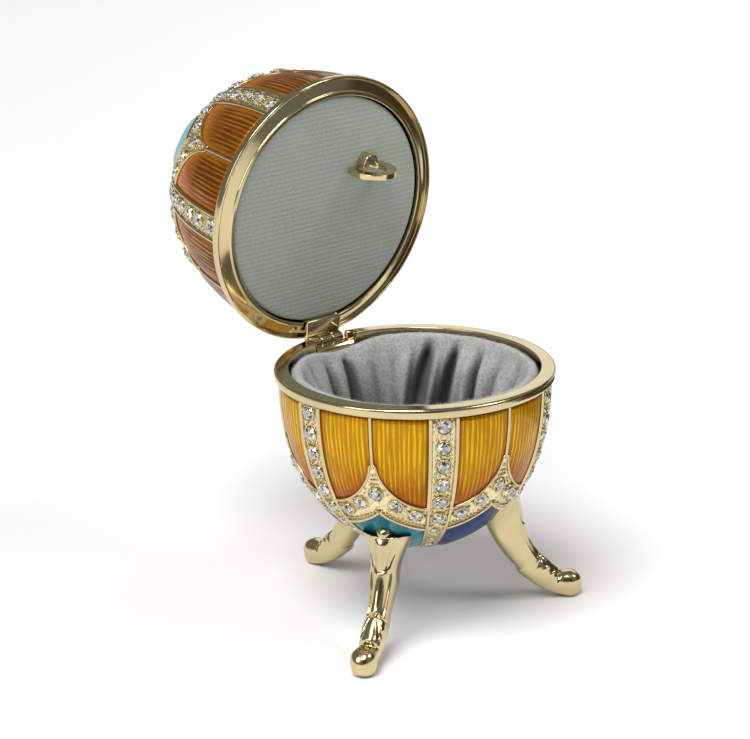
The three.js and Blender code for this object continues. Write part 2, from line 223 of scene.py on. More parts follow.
# ------------------------------------------------------------------ meshes
class Meshwork:
    """Gathers grids and faces, in mm, into one mesh with a UV map and named values."""

    def __init__(self):
        self.points = []
        self.faces = []
        self.uvs = []
        self.values = {}

    def add_values(self, values, count):
        """Adds named values for the last count points, after noughts where a name had none."""
        for name, numbers in values.items():
            held = self.values.setdefault(name, [])
            held.extend([0.0] * (len(self.points) - count - len(held)))
            held.extend(numbers)

    def grid(self, rows, uv=None, values=None, wrap=False, inside=None):
        """A sheet through rows of points; inside is a point behind it, which turns it to face out."""
        first = len(self.points)
        wide = len(rows[0])
        flat = [Vector(p) for row in rows for p in row]
        self.points.extend(flat)
        self.uvs.extend([pair for row in uv for pair in row] if uv else [(0.0, 0.0)] * len(flat))
        self.add_values(values or {}, len(flat))
        faces = []
        for i in range(len(rows) - 1):
            for j in range(wide if wrap else wide - 1):
                k = (j + 1) % wide
                corners = (i * wide + j, i * wide + k, (i + 1) * wide + k, (i + 1) * wide + j)
                faces.append([first + c for c in corners])
        if inside is not None:
            out = 0.0
            for face in faces:
                a, b, c, d = (self.points[i] for i in face)
                middle = (a + b + c + d) / 4
                out += (c - a).cross(d - b).dot(middle - Vector(inside))
            if out < 0:
                faces = [face[::-1] for face in faces]
        self.faces.extend(faces)
        return first

    def fan(self, ring, pole):
        """Closes a ring of point numbers to one point."""
        self.points.append(Vector(pole))
        self.uvs.append((0.0, 0.0))
        last = len(self.points) - 1
        self.faces.extend([ring[i], ring[(i + 1) % len(ring)], last] for i in range(len(ring)))

    def close(self, first, wide, high, near, far):
        """Closes both ends of a wrapped grid, wide points round and high rows long."""
        self.fan([first + j for j in range(wide)], near)
        self.fan([first + wide * (high - 1) + j for j in reversed(range(wide))], far)

    def spin(self, outline, steps):
        """Adds a closed outline of (radius, height), spun about Z."""
        turns = [math.tau * i / steps for i in range(steps)]
        rows = [[polar(r, turn, z) for r, z in outline + outline[:1]] for turn in turns]
        self.grid(rows + rows[:1])

    def bead(self, centre, radius, wide=7, high=4):
        """Adds a ball of high rows, wide points round."""
        rows = []
        for i in range(1, high):
            ring, level = math.sin(math.pi * i / high), math.cos(math.pi * i / high)
            around = (Vector(polar(ring, math.tau * j / wide, level)) for j in range(wide))
            rows.append([centre + radius * point for point in around])
        first = self.grid(rows, wrap=True, inside=centre)
        pole = Vector((0, 0, radius))
        self.close(first, wide, high - 1, centre + pole, centre - pole)

    def piece(self, name, place, recalculate=True):
        """Makes the mesh, sets it in its place and gives it to a new object."""
        mesh = bpy.data.meshes.new(name)
        mesh.from_pydata([tuple(p) for p in self.points], [], self.faces)
        layer = mesh.uv_layers.new(name="UVMap")
        for loop in mesh.loops:
            layer.data[loop.index].uv = self.uvs[loop.vertex_index]
        for value_name, numbers in self.values.items():
            numbers = numbers + [0.0] * (len(self.points) - len(numbers))
            mesh.attributes.new(value_name, "FLOAT", "POINT").data.foreach_set("value", numbers)
        mesh.transform(place)
        if recalculate:
            tidy_mesh(mesh)
        mesh.shade_smooth()
        return linked(name, mesh)


def tidy_mesh(mesh):
    """Merges doubled points, drops faces of no size and turns the rest outwards."""
    bm = bmesh.new()
    bm.from_mesh(mesh)
    bmesh.ops.remove_doubles(bm, verts=bm.verts, dist=MERGE)
    bmesh.ops.dissolve_degenerate(bm, edges=bm.edges, dist=MERGE)
    bmesh.ops.recalc_face_normals(bm, faces=bm.faces)
    bm.to_mesh(mesh)
    bm.free()


def linked(name, data):
    """A new object for the data, in the scene."""
    piece = bpy.data.objects.new(name, data)
    bpy.context.scene.collection.objects.link(piece)
    return piece


def settled(piece):
    """The piece with its modifiers made real, as one plain mesh."""
    bpy.context.view_layer.update()
    graph = bpy.context.evaluated_depsgraph_get()
    mesh = bpy.data.meshes.new_from_object(piece.evaluated_get(graph))
    name = piece.name
    discard(piece)
    mesh.name = name
    return linked(name, mesh)


def discard(piece):
    """Removes a piece and its data."""
    data = piece.data
    bpy.data.objects.remove(piece)
    if data.users == 0:
        (bpy.data.curves if isinstance(data, bpy.types.Curve) else bpy.data.meshes).remove(data)


def finished(piece, material, body, slot, *replaced):
    """Gives a piece its material and its body, and hides the parts that it replaces; slot is not used.
    """
    if material is not None:
        piece.data.materials.clear()
        piece.data.materials.append(material)
    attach(piece, body)
    if replaced:
        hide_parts(*replaced)
    return piece


def gilded(piece, body, *nodes):
    """Finishes a polished gold piece, which stands for the nodes."""
    return finished(piece, FINISHES["polished"], body, "gold_metal", *nodes)


def thickened(piece, thickness):
    """The piece as a wall, which grows inwards."""
    solid = piece.modifiers.new("Thickness", "SOLIDIFY")
    solid.thickness = thickness * MM
    solid.offset = -1.0
    return settled(piece)


def rounded(outline, sizes, steps=5):
    """A closed outline of (radius, height) with its corners rounded to the sizes given."""
    out = []
    count = len(outline)
    for i, corner in enumerate(outline):
        here = Vector(corner)
        before = (Vector(outline[i - 1]) - here).normalized()
        after = (Vector(outline[(i + 1) % count]) - here).normalized()
        size = sizes[i]
        if size <= 0:
            out.append(tuple(here))
            continue
        for j in range(steps + 1):
            t = j / steps
            a, b = here + before * size, here + after * size
            out.append(tuple(a * (1 - t) ** 2 + here * 2 * t * (1 - t) + b * t ** 2))
        lead = size * 0.15
        out.insert(-(steps + 1), tuple(here + before * (size + lead)))
        out.append(tuple(here + after * (size + lead)))
    return out


def lathe(name, outline, place, steps):
    """A closed outline spun about the egg's axis."""
    work = Meshwork()
    work.spin(outline, steps)
    return work.piece(name, place)


def block(name, low, high, place=AXIS_PLACE):
    """A box by its low and high corners, in mm."""
    mesh = bpy.data.meshes.new(name)
    bm = bmesh.new()
    bmesh.ops.create_cube(bm, size=1)
    size = Vector(high) - Vector(low)
    middle = (Vector(high) + Vector(low)) / 2
    matrix = place @ Matrix.Translation(middle) @ Matrix.Diagonal((*size, 1))
    bmesh.ops.transform(bm, matrix=matrix, verts=bm.verts)
    bm.to_mesh(mesh)
    bm.free()
    return linked(name, mesh)


def cut_by(piece, tools):
    """The piece with the tools' shapes cut out of it, and the tools used up."""
    for tool in tools:
        cutting = piece.modifiers.new("Cut", "BOOLEAN")
        cutting.operation = "DIFFERENCE"
        cutting.solver = "EXACT"
        cutting.object = tool
    piece = settled(piece)
    for tool in tools:
        discard(tool)
    return piece


def joined(name, pieces):
    """Several meshes as one piece."""
    bm = bmesh.new()
    for piece in pieces:
        bm.from_mesh(piece.data)
        discard(piece)
    mesh = bpy.data.meshes.new(name)
    bm.to_mesh(mesh)
    bm.free()
    return linked(name, mesh)


def bevelled(piece, width, segments=3):
    """The piece with softened edges, the width in mm."""
    bevel = piece.modifiers.new("Edges", "BEVEL")
    bevel.width = width * MM
    bevel.segments = segments
    bevel.limit_method = "ANGLE"
    piece = settled(piece)
    piece.data.shade_smooth()
    return piece


# ------------------------------------------------------------------ node trees
class Signal:
    """A socket's value, so that maths on it reads as maths."""

    def __init__(self, tree, socket):
        self.tree = tree
        self.socket = socket

    def maths(self, operation, *values):
        return self.tree.node("ShaderNodeMath", {"operation": operation}, dict(enumerate(values)))[0]

    def __add__(self, other):
        return self.maths("ADD", self, other)

    def __sub__(self, other):
        return self.maths("SUBTRACT", self, other)

    def __rsub__(self, other):
        return self.maths("SUBTRACT", other, self)

    def __mul__(self, other):
        return self.maths("MULTIPLY", self, other)

    __radd__ = __add__
    __rmul__ = __mul__

    def wave(self):
        """Rises and falls between 0 and 1, once for each whole step."""
        return self.maths("SINE", self * math.tau) * 0.5 + 0.5

    def clamped(self):
        return self.tree.node("ShaderNodeClamp", {}, {0: self})[0]

    def rise(self, low, high):
        """0 below low, 1 above high, smooth between."""
        settings = {"interpolation_type": "SMOOTHSTEP"}
        return self.tree.node("ShaderNodeMapRange", settings, {0: self, 1: low, 2: high})[0]


class Outputs:
    """A node's output sockets as signals, by name or number."""

    def __init__(self, tree, node):
        self.tree = tree
        self.node = node

    def __getitem__(self, key):
        return Signal(self.tree, self.node.outputs[key])


class Tree:
    """A node tree that is written as calls."""

    def __init__(self, nodes):
        self.nodes = nodes
        nodes.nodes.clear()

    def node(self, kind, settings=None, inputs=None):
        """Adds a node: its type, its settings, then its sockets' values or links."""
        node = self.nodes.nodes.new(kind)
        for name, value in (settings or {}).items():
            if name == "stops":
                self.set_stops(node.color_ramp, value)
            else:
                setattr(node, name, value)
        for key, value in (inputs or {}).items():
            if isinstance(value, Outputs):
                value = value[0]
            if isinstance(value, Signal):
                self.nodes.links.new(value.socket, node.inputs[key])
            else:
                node.inputs[key].default_value = value
        return Outputs(self, node)

    @staticmethod
    def set_stops(ramp, stops):
        while len(ramp.elements) < len(stops):
            ramp.elements.new(0.5)
        for element, (place, colour) in zip(ramp.elements, stops):
            element.position = place
            element.color = (*colour, 1)


def solid(value):
    """A colour with its opacity added; a signal or a number as it is."""
    return (*value, 1) if isinstance(value, tuple) else value


class Finish(Tree):
    """A material whose look is written as signals."""

    def __init__(self, name):
        self.material = bpy.data.materials.new(name)
        self.material.use_nodes = True
        super().__init__(self.material.node_tree)

    def place(self):
        return self.node("ShaderNodeTexCoord")["Object"]

    def uv(self):
        return self.node("ShaderNodeUVMap", {"uv_map": "UVMap"})["UV"]

    def value(self, name):
        return self.node("ShaderNodeAttribute", {"attribute_name": name})["Fac"]

    def stretched(self, vector, scale):
        settings = {"operation": "MULTIPLY"}
        return self.node("ShaderNodeVectorMath", settings, {0: vector, 1: scale})[0]

    def noise(self, vector, scale, detail=2.0, rough=0.5):
        inputs = {"Vector": vector, "Scale": scale, "Detail": detail, "Roughness": rough}
        return self.node("ShaderNodeTexNoise", {}, inputs)[0]

    def cells(self, vector, scale):
        return self.node("ShaderNodeTexVoronoi", {}, {"Vector": vector, "Scale": scale})["Distance"]

    def split(self, vector):
        return self.node("ShaderNodeSeparateXYZ", {}, {0: vector})

    def ramp(self, signal, stops):
        return self.node("ShaderNodeValToRGB", {"stops": stops}, {0: signal})["Color"]

    def mix(self, share, first, second):
        inputs = {0: share, 6: solid(first), 7: solid(second)}
        return self.node("ShaderNodeMix", {"data_type": "RGBA"}, inputs)[2]

    def bump(self, height, strength, distance):
        inputs = {"Strength": strength, "Distance": distance * MM, "Height": height}
        return self.node("ShaderNodeBump", {}, inputs)[0]

    def done(self, inputs):
        """Ends the tree in one Principled shader with these inputs."""
        inputs = {name: solid(value) for name, value in inputs.items()}
        shader = self.node("ShaderNodeBsdfPrincipled", {}, inputs)
        self.node("ShaderNodeOutputMaterial", {}, {"Surface": shader[0]})
        return self.material


def geometry_tree(name, inputs):
    """An empty Geometry Nodes tree with named inputs, its input signals and its end."""
    group = bpy.data.node_groups.new(name, "GeometryNodeTree")
    tree = Tree(group)
    group.interface.new_socket("Geometry", in_out="INPUT", socket_type="NodeSocketGeometry")
    for label, kind in inputs.items():
        group.interface.new_socket(label, in_out="INPUT", socket_type="NodeSocket" + kind)
    group.interface.new_socket("Geometry", in_out="OUTPUT", socket_type="NodeSocketGeometry")
    return group, tree, tree.node("NodeGroupInput")


def end_tree(tree, geometry, material, smooth_shade=True):
    """Makes the copies real, shades them and gives them their material."""
    real = tree.node("GeometryNodeRealizeInstances", {}, {0: geometry})
    inputs = {"Geometry": real, "Shade Smooth": smooth_shade}
    shaded = tree.node("GeometryNodeSetShadeSmooth", {}, inputs)
    painted = tree.node("GeometryNodeSetMaterial", {}, {"Geometry": shaded, "Material": material})
    tree.node("NodeGroupOutput", {}, {0: painted})


def wire_tree():
    """Rolls each spline into a round wire, as thick as its points say."""
    group, tree, given = geometry_tree("Wire along a path", {"Sides": "Int", "Finish": "Material"})
    inputs = {"Resolution": given["Sides"], "Radius": 1.0}
    ring = tree.node("GeometryNodeCurvePrimitiveCircle", {}, inputs)
    swept = tree.node("GeometryNodeCurveToMesh", {}, {
        "Curve": given["Geometry"], "Profile Curve": ring,
        "Scale": tree.node("GeometryNodeInputRadius"), "Fill Caps": True})
    end_tree(tree, swept, given["Finish"])
    return group


# What each point says of the piece that stands on it.
POINT_VALUES = {"facing": "FLOAT_VECTOR", "along": "FLOAT_VECTOR", "size": "FLOAT"}


def setting_tree():
    """Puts a copy of one piece on each point, facing the way the point says."""
    inputs = {"Piece": "Object", "Finish": "Material", "Smooth": "Bool"}
    group, tree, given = geometry_tree("Pieces on points", inputs)
    settings = {"transform_space": "ORIGINAL"}
    copy = tree.node("GeometryNodeObjectInfo", settings, {"Object": given["Piece"]})
    facing, along, size = (
        tree.node("GeometryNodeInputNamedAttribute", {"data_type": kind}, {"Name": name})
        for name, kind in POINT_VALUES.items())
    settings = {"primary_axis": "Z", "secondary_axis": "X"}
    turned = tree.node("FunctionNodeAxesToRotation", settings, {0: facing, 1: along})
    spread = tree.node("GeometryNodeInstanceOnPoints", {}, {
        "Points": given["Geometry"], "Instance": copy["Geometry"], "Rotation": turned, "Scale": size})
    end_tree(tree, spread, given["Finish"], given["Smooth"])
    return group


def pile_tree():
    """Short fibres that stand on a cloth."""
    group, tree, given = geometry_tree("Plush pile", {
        "Density": "Float", "Length": "Float", "Lean": "Float", "Seed": "Int", "Finish": "Material"})
    points = tree.node("GeometryNodeDistributePointsOnFaces", {"distribute_method": "RANDOM"}, {
        "Mesh": given["Geometry"], "Density": given["Density"], "Seed": given["Seed"]})
    fibre = tree.node("GeometryNodeMeshCone", {"fill_type": "NONE"}, {
        "Vertices": 3, "Side Segments": 1, "Radius Top": 0.0, "Radius Bottom": 0.05, "Depth": 1.0})
    lean = tree.node("FunctionNodeRandomValue", {"data_type": "FLOAT_VECTOR"}, {
        "Min": (-1.0, -1.0, -1.0), "Max": (1.0, 1.0, 1.0), "Seed": given["Seed"]})
    tilt = tree.node("ShaderNodeVectorMath", {"operation": "SCALE"}, {0: lean, "Scale": given["Lean"]})
    way = tree.node("ShaderNodeVectorMath", {"operation": "ADD"}, {0: points["Normal"], 1: tilt})
    turned = tree.node("FunctionNodeAlignRotationToVector", {"axis": "Z"}, {"Vector": way})
    spread = tree.node("GeometryNodeInstanceOnPoints", {}, {
        "Points": points["Points"], "Instance": fibre["Mesh"], "Rotation": turned,
        "Scale": given["Length"]})
    end_tree(tree, spread, given["Finish"])
    return group


def grown(piece, group, values):
    """Runs a Geometry Nodes tree on a piece, with its named inputs, and makes it a plain mesh."""
    made = piece.modifiers.new(group.name, "NODES")
    made.node_group = group
    for item in group.interface.items_tree:
        if item.item_type == "SOCKET" and item.in_out == "INPUT" and item.name in values:
            made[item.identifier] = values[item.name]
    return settled(piece)


# ------------------------------------------------------------------ finishes
def gold_finish(name, colour, roughness=0.1, cast=0.0):
    """Polished plating; cast is how uneven the casting under it is."""
    finish = Finish(name)
    place = finish.place()
    cloud = finish.noise(place, 90.0, 3.0)
    fine = finish.noise(place, 900.0, 2.0)
    tone = finish.mix(cloud.rise(0.35, 0.7), tuple(c * 0.93 for c in colour), colour)
    inputs = {
        "Base Color": tone,
        "Metallic": 1.0,
        "Roughness": roughness + cloud * 0.06 + fine * 0.03,
    }
    if cast:
        inputs["Normal"] = finish.bump(finish.noise(place, 260.0, 2.0) + fine * 0.2, cast, 0.25)
    return finish.done(inputs)


def grained_finish(name, colour, dark):
    """Plating over a bed that a punch has pitted, with painted shade darkening the bottom of each pit.
    """
    finish = Finish(name)
    place = finish.place()
    pits = finish.cells(place, 1150.0)
    fine = finish.noise(place, 2600.0, 2.0)
    # Painted shade: the pit bottoms are mixed towards the dark colour.
    shade = pits.rise(0.0, 0.45) * 0.75 + fine * 0.4
    return finish.done({
        "Base Color": finish.mix(shade.clamped(), dark, colour),
        "Metallic": 1.0,
        "Roughness": 0.26 + fine * 0.14,
        "Normal": finish.bump(pits + fine * 0.3, 0.55, 0.16),
    })


def amber_finish(name, bright, deep, burnt):
    """Clear amber enamel over engraved lines, deeper where it lies thick along the wires."""
    finish = Finish(name)
    uv, place = finish.uv(), finish.place()
    across = finish.split(uv)["X"]
    edge, fall = finish.value("edge"), finish.value("fall")
    wander = finish.noise(finish.stretched(uv, (5.0, 0.05, 1.0)), 1.0, 2.0)
    lines = (across * 11.0 + (wander - 0.5) * 1.5).wave()
    broken = finish.noise(finish.stretched(uv, (16.0, 0.16, 1.0)), 1.0, 3.0, 0.6)
    thread = lines.rise(0.4, 0.95) * broken.rise(0.26, 0.6)
    cloud = finish.noise(place, 110.0, 3.0)
    pooled = (1 - edge.rise(0.0, 1.7)) * 0.55 + fall.rise(0.5, 0.95) * 0.95 + (cloud - 0.5) * 1.1
    pooled = pooled.clamped()
    ground = finish.mix(pooled, deep, burnt)
    lit = finish.mix((thread * (1 - pooled * 0.8)).clamped(), ground, bright)
    ripple = finish.noise(place, 240.0, 1.0)
    specks = finish.cells(place, 700.0)
    lit = finish.mix(1 - specks.rise(0.03, 0.08), lit, tuple(c * 0.4 for c in deep))
    return finish.done({
        "Base Color": lit,
        "Metallic": 0.3 + thread * 0.3,
        "Roughness": 0.4 - thread * 0.1,
        "Specular IOR Level": 0.02,
        "Coat Weight": 0.38,
        "Coat IOR": 1.32,
        "Coat Roughness": 0.03,
        "Normal": finish.bump(ripple * 4.0 + thread * 0.3, 0.5, 0.12),
    })


def mottled_finish(name, light, middle, dark):
    """Streaky opaque enamel under a clear gloss."""
    finish = Finish(name)
    place = finish.place()
    warp = finish.noise(place, 160.0, 3.0, 0.6)
    streak = finish.noise(finish.stretched(place, (1.0, 1.0, 0.35)), 420.0, 4.0, 0.65)
    blotch = (warp * 0.55 + streak * 0.6 - 0.08).clamped()
    colour = finish.ramp(blotch, [(0.3, dark), (0.5, middle), (0.72, light)])
    return finish.done({
        "Base Color": colour,
        "Metallic": 0.1,
        "Roughness": 0.35 + warp * 0.1,
        "Specular IOR Level": 0.1,
        "Coat Weight": 0.35,
        "Coat IOR": 1.3,
        "Coat Roughness": 0.05,
        "Normal": finish.bump(warp, 0.15, 0.2),
    })


def crystal_finish(name, colour):
    """Foil-backed cut stones: each facet's random tone picks a painted reflection, from near black to
    white, with painted glints over it.
    """
    finish = Finish(name)
    tone = finish.value("tone")
    painted_glint = finish.noise(finish.place(), 1300.0, 2.0)
    # Painted reflections: facet tones run from near black to the crystal colour.
    shade = finish.ramp((tone * 0.75 + painted_glint * 0.4 - 0.1).clamped(), [
        (0.14, (0.035, 0.035, 0.025)), (0.32, (0.30, 0.30, 0.25)),
        (0.52, (0.70, 0.70, 0.64)), (0.76, colour)])
    return finish.done({
        "Base Color": shade,
        "Metallic": 0.35,
        "Roughness": 0.1,
        "Coat Weight": 1.0,
        "Coat Roughness": 0.02,
    })


def plush_finish(name, light, dark):
    """Short grey pile, lighter at its tips, with painted shade where the folds and the cup's depth hide
    it from the light.
    """
    finish = Finish(name)
    place = finish.place()
    nap = finish.noise(place, 1900.0, 2.0)
    cloud = finish.noise(finish.stretched(place, (1.0, 1.0, 0.25)), 700.0, 3.0, 0.6)
    tone = (nap * 0.7 + cloud * 0.3).rise(0.1, 0.85)
    # Painted shade: the pouch's hidden value mixes the pile towards near black.
    shadow = finish.value("hidden").rise(0.05, 1.0) * 0.9
    return finish.done({
        "Base Color": finish.mix(shadow, finish.mix(tone, dark, light), (0.02, 0.02, 0.019)),
        "Roughness": 0.95,
        "Sheen Weight": 0.3,
        "Sheen Roughness": 0.4,
        "Normal": finish.bump(nap + cloud, 0.7, 0.25),
    })


def twill_finish(name, light, dark, tint):
    """Fine ribbed cloth: slanting ribs, crossed by single threads. Its UV map is in mm."""
    finish = Finish(name)
    uv = finish.uv()
    place = finish.split(uv)
    x, y = place["X"], place["Y"]
    drift = finish.noise(finish.stretched(uv, (0.12, 0.5, 1.0)), 1.0, 2.0) - 0.5
    rib = (y * 0.95 + x * 0.02 + drift * 0.5).wave()
    thread = (x * 2.6 + y * 1.3 + drift).wave()
    slub = finish.noise(finish.stretched(uv, (1.2, 4.0, 1.0)), 1.0, 3.0, 0.6)
    cloud = finish.noise(uv, 0.07, 2.0)
    speck = finish.noise(finish.stretched(uv, (1.6, 3.2, 1.0)), 1.0, 3.0, 0.7)
    tone = rib * 0.22 + thread * 0.2 + slub * 0.6 + speck.rise(0.3, 0.7) * 0.55 - 0.2
    base = finish.mix(tone.clamped(), dark, light)
    base = finish.mix(cloud.rise(0.35, 0.7) * 0.35, base, tint)
    return finish.done({
        "Base Color": base,
        "Roughness": 0.93,
        "Sheen Weight": 0.2,
        "Normal": finish.bump(rib + thread * 0.6 + slub * 0.6, 0.5, 0.14),
    })


def plain_finish(name, colour):
    """One colour, for the floor and the cards."""
    return Finish(name).done({"Base Color": colour, "Roughness": 0.6})


# ------------------------------------------------------------------ enamel
def enamel_lift(from_edge, height):
    """Enamel is low along its wires and fullest in the middle."""
    return ENAMEL_LOW + height * smooth(0.0, ENAMEL_SLOPE, from_edge)


def petal_panels(half, dome):
    """The twelve amber half petals."""
    work = Meshwork()
    columns = spaced(RIB_EDGE, REACH, PETAL_GRID[0])
    for rib in RIBS:
        for side in (-1, 1):
            rows, uv, edges, falls = [], [], [], []
            for v in spaced(0.0, 1.0, PETAL_GRID[1]):
                rows.append([])
                uv.append([])
                for a in columns:
                    deep = petal_depth(a) - 0.1
                    depth = ENAMEL_TOP + (deep - ENAMEL_TOP) * v
                    across = math.radians(min(a - columns[0], columns[-1] - a)) * half.radius(depth)
                    down = min(depth - ENAMEL_TOP + 0.6, (deep - depth) * 0.9)
                    from_edge = min(across, down)
                    rows[-1].append(half.spot(rib + side * a, depth, enamel_lift(from_edge, dome)))
                    uv[-1].append(((a - columns[0]) / (columns[-1] - columns[0]), depth))
                    edges.append(from_edge)
                    falls.append(depth / PETAL_LONG * 0.55 + v * 0.45)
            work.grid(rows, uv, {"edge": edges, "fall": falls}, inside=HEART)
    piece = work.piece(half.name + "_petals", half.place, recalculate=False)
    return thickened(piece, ENAMEL_THICKNESS)


def crown_panels(half, name, ribs, dome, end):
    """The domed panels between the strips beyond the band, down to the boss."""
    work = Meshwork()
    for rib in ribs:
        rows = []
        for v in spaced(0.0, 1.0, CROWN_GRID[1]):
            row = []
            for a in spaced(-REACH, REACH, CROWN_GRID[0]):
                start = band_depth(a) + 0.25
                depth = end - (end - start) * (1 - v) ** 1.6
                across = math.radians(REACH - abs(a)) * half.radius(depth)
                from_edge = min(across, (depth - start) * 1.1, (end - depth) * 2.2 + 0.3)
                row.append(half.spot(rib + a, depth, enamel_lift(from_edge, dome)))
            rows.append(row)
        work.grid(rows, inside=HEART)
    piece = work.piece(half.name + "_" + name, half.place, recalculate=False)
    return thickened(piece, ENAMEL_THICKNESS)


# ------------------------------------------------------------------ castings
def casting(half):
    """The smooth metal shell that carries the enamel."""
    end = half.form["height"]
    inner_end = end - WALL
    # Both sides begin a little below the mouth, behind the rim's skirt.
    outer_start, outer_rows, inner_start, inner_rows = 0.075, 40, 0.08, 24

    def eased(low, high, count):
        return [1 - (1 - v) ** 2 for v in spaced(low, high, count)]

    outer = [(half.radius(end * t), end * t) for t in eased(outer_start, 1.0, outer_rows)]
    inner = [
        (half.radius(inner_end * t, BODY_RADIUS - WALL, inner_end), inner_end * t)
        for t in eased(1.0, inner_start, inner_rows)]
    return lathe(half.name + "_casting", outer + inner, half.place, SHELL_STEPS)


def beds(half, lift, end):
    """The raised, pitted beds of the strips and the scalloped band."""
    work = Meshwork()
    columns = spaced(-STRIP_WIRE, STRIP_WIRE, STRIP_GRID[0])
    under_strip = REACH + 0.6
    for strip in STRIPS:
        rows = []
        for v in spaced(0.0, 1.0, STRIP_GRID[1]):
            depth = end - (end - ENAMEL_TOP + 0.2) * (1 - v) ** 1.25
            rows.append([half.spot(strip + a, depth, lift) for a in columns])
        work.grid(rows, inside=HEART)
    for rib in RIBS:
        rows = []
        for a in spaced(-under_strip, under_strip, BAND_GRID[0]):
            low, high = petal_depth(a), band_depth(a)
            row = []
            for v in spaced(0.0, 1.0, BAND_GRID[1]):
                sag = 0.12 * math.sin(math.pi * v)
                row.append(half.spot(rib + a, low + (high - low) * v, lift - sag))
            rows.append(row)
        work.grid(rows, inside=HEART)
    piece = work.piece(half.name + "_beds", half.place, recalculate=False)
    return thickened(piece, BED_THICKNESS)


def wires(half, gauge, end):
    """Round wires along the strips, the ribs and both edges of the band, as curves."""
    # A path's points are angle, depth, lift and radius.
    paths = []
    under_strip = REACH + 0.3
    for strip in STRIPS:
        for side in (-1, 1):
            path = []
            for v in spaced(0.0, 1.0, STRIP_WIRE_POINTS):
                depth = end - (end - ENAMEL_TOP + 0.3) * (1 - v) ** 1.3
                thin = 0.55 + 0.45 * smooth(0, 14, half.radius(depth))
                path.append((strip + side * STRIP_WIRE, depth, WIRE_LIFT, STRIP_GAUGE * gauge * thin))
            paths.append(path)
    for rib in RIBS:
        depths = spaced(ENAMEL_TOP - 0.3, PETAL_SHORT + 0.4, RIB_WIRE_POINTS)
        paths.append([(rib, depth, 0.12, RIB_GAUGE * gauge) for depth in depths])
        for side in (-1, 1):
            upper, lower = [], []
            for t in spaced(0.0, 1.0, BAND_WIRE_POINTS):
                a = 0.5 + (under_strip - 0.5) * t ** 1.6
                thick = (PETAL_GAUGE + 0.1 * t) * gauge
                upper.append((rib + side * a, petal_depth(a) + 0.12, 0.22, thick))
                b = under_strip * t
                lower.append((rib + side * b, band_depth(b), WIRE_LIFT, BAND_GAUGE * gauge))
            paths.extend([upper, lower])
    curve = bpy.data.curves.new(half.name + "_wires", "CURVE")
    curve.dimensions = "3D"
    for path in paths:
        spline = curve.splines.new("POLY")
        spline.points.add(len(path) - 1)
        for point, (angle, depth, lift, radius) in zip(spline.points, path):
            point.co = (*(half.place @ half.spot(angle, depth, lift)), 1)
            point.radius = radius * MM
    return linked(half.name + "_wires", curve)


def boss(half):
    """The small turned boss where the strips meet."""
    end = half.form["height"]
    profile = [(0.001, -1.5), (4.3, -1.5), (4.3, 0.1), (3.2, 0.3), (2.7, 1.1), (0.001, 1.2)]
    outline = rounded([(r, end + z) for r, z in profile], [0, 0, 0.4, 0.15, 0.5, 0])
    return lathe(half.name + "_boss", outline, half.place, BOSS_STEPS)


# ------------------------------------------------------------------ stones
def cut_stone():
    """A round brilliant of unit radius, its girdle at z = 0, each facet with its own random tone, which
    the crystal finish paints as a reflection.
    """
    rng = random.Random(STONE_SEED)
    sides = 8
    rings = [(1.0, -0.12, 0.0), (1.0, 0.0, 0.0), (0.78, 0.27, 22.5), (0.5, 0.42, 0.0)]
    mesh = bpy.data.meshes.new("cut_stone")
    bm = bmesh.new()
    tone = bm.faces.layers.float.new("tone")
    low, girdle, star, table = (
        [bm.verts.new(polar(radius, math.radians(360 / sides * i + turn), height)) for i in range(sides)]
        for radius, height, turn in rings)
    faces = [bm.faces.new(table)]
    for i in range(sides):
        j = (i + 1) % sides
        faces.append(bm.faces.new((low[i], low[j], girdle[j], girdle[i])))
        faces.append(bm.faces.new((girdle[i], girdle[j], star[i])))
        faces.append(bm.faces.new((girdle[j], star[j], star[i])))
        faces.append(bm.faces.new((star[i], star[j], table[j])))
        faces.append(bm.faces.new((table[i], star[i], table[j])))
    # A random tone for each facet, painted as that facet's reflection.
    for face in faces:
        face[tone] = rng.random()
    bm.to_mesh(mesh)
    bm.free()
    return linked("cut_stone", mesh)


def collet():
    """A thin ring round a stone of unit radius, with four grains pushed over its edge."""
    work = Meshwork()
    work.spin([(0.97, -0.35), (1.22, -0.35), (1.17, 0.02), (1.08, 0.1), (0.99, 0.04)], 20)
    for k in range(4):
        work.bead(Vector(polar(1.06, math.radians(45 + 90 * k), 0.1)), 0.2)
    return work.piece("collet", Matrix.Identity(4))


def grain():
    """A little ball of unit radius."""
    work = Meshwork()
    work.bead(Vector((0, 0, 0)), 1.0)
    return work.piece("grain", Matrix.Identity(4))


def stone_places(half, large, small, lift):
    """Where the stones sit: angle, depth, lift and radius."""
    places = []
    for strip in STRIPS:
        places.extend((strip, depth, lift, large / 2) for depth in STRIP_STONES)
        for depth, scale in zip(SMALL_STONES, (1.15, 1.0, 0.85)):
            places.append((strip, depth, lift * 0.8, small / 2 * scale))
    for rib in RIBS:
        places.extend((rib + a, depth, lift, large / 2 * 0.97) for a, depth in BAND_STONES)
    return places


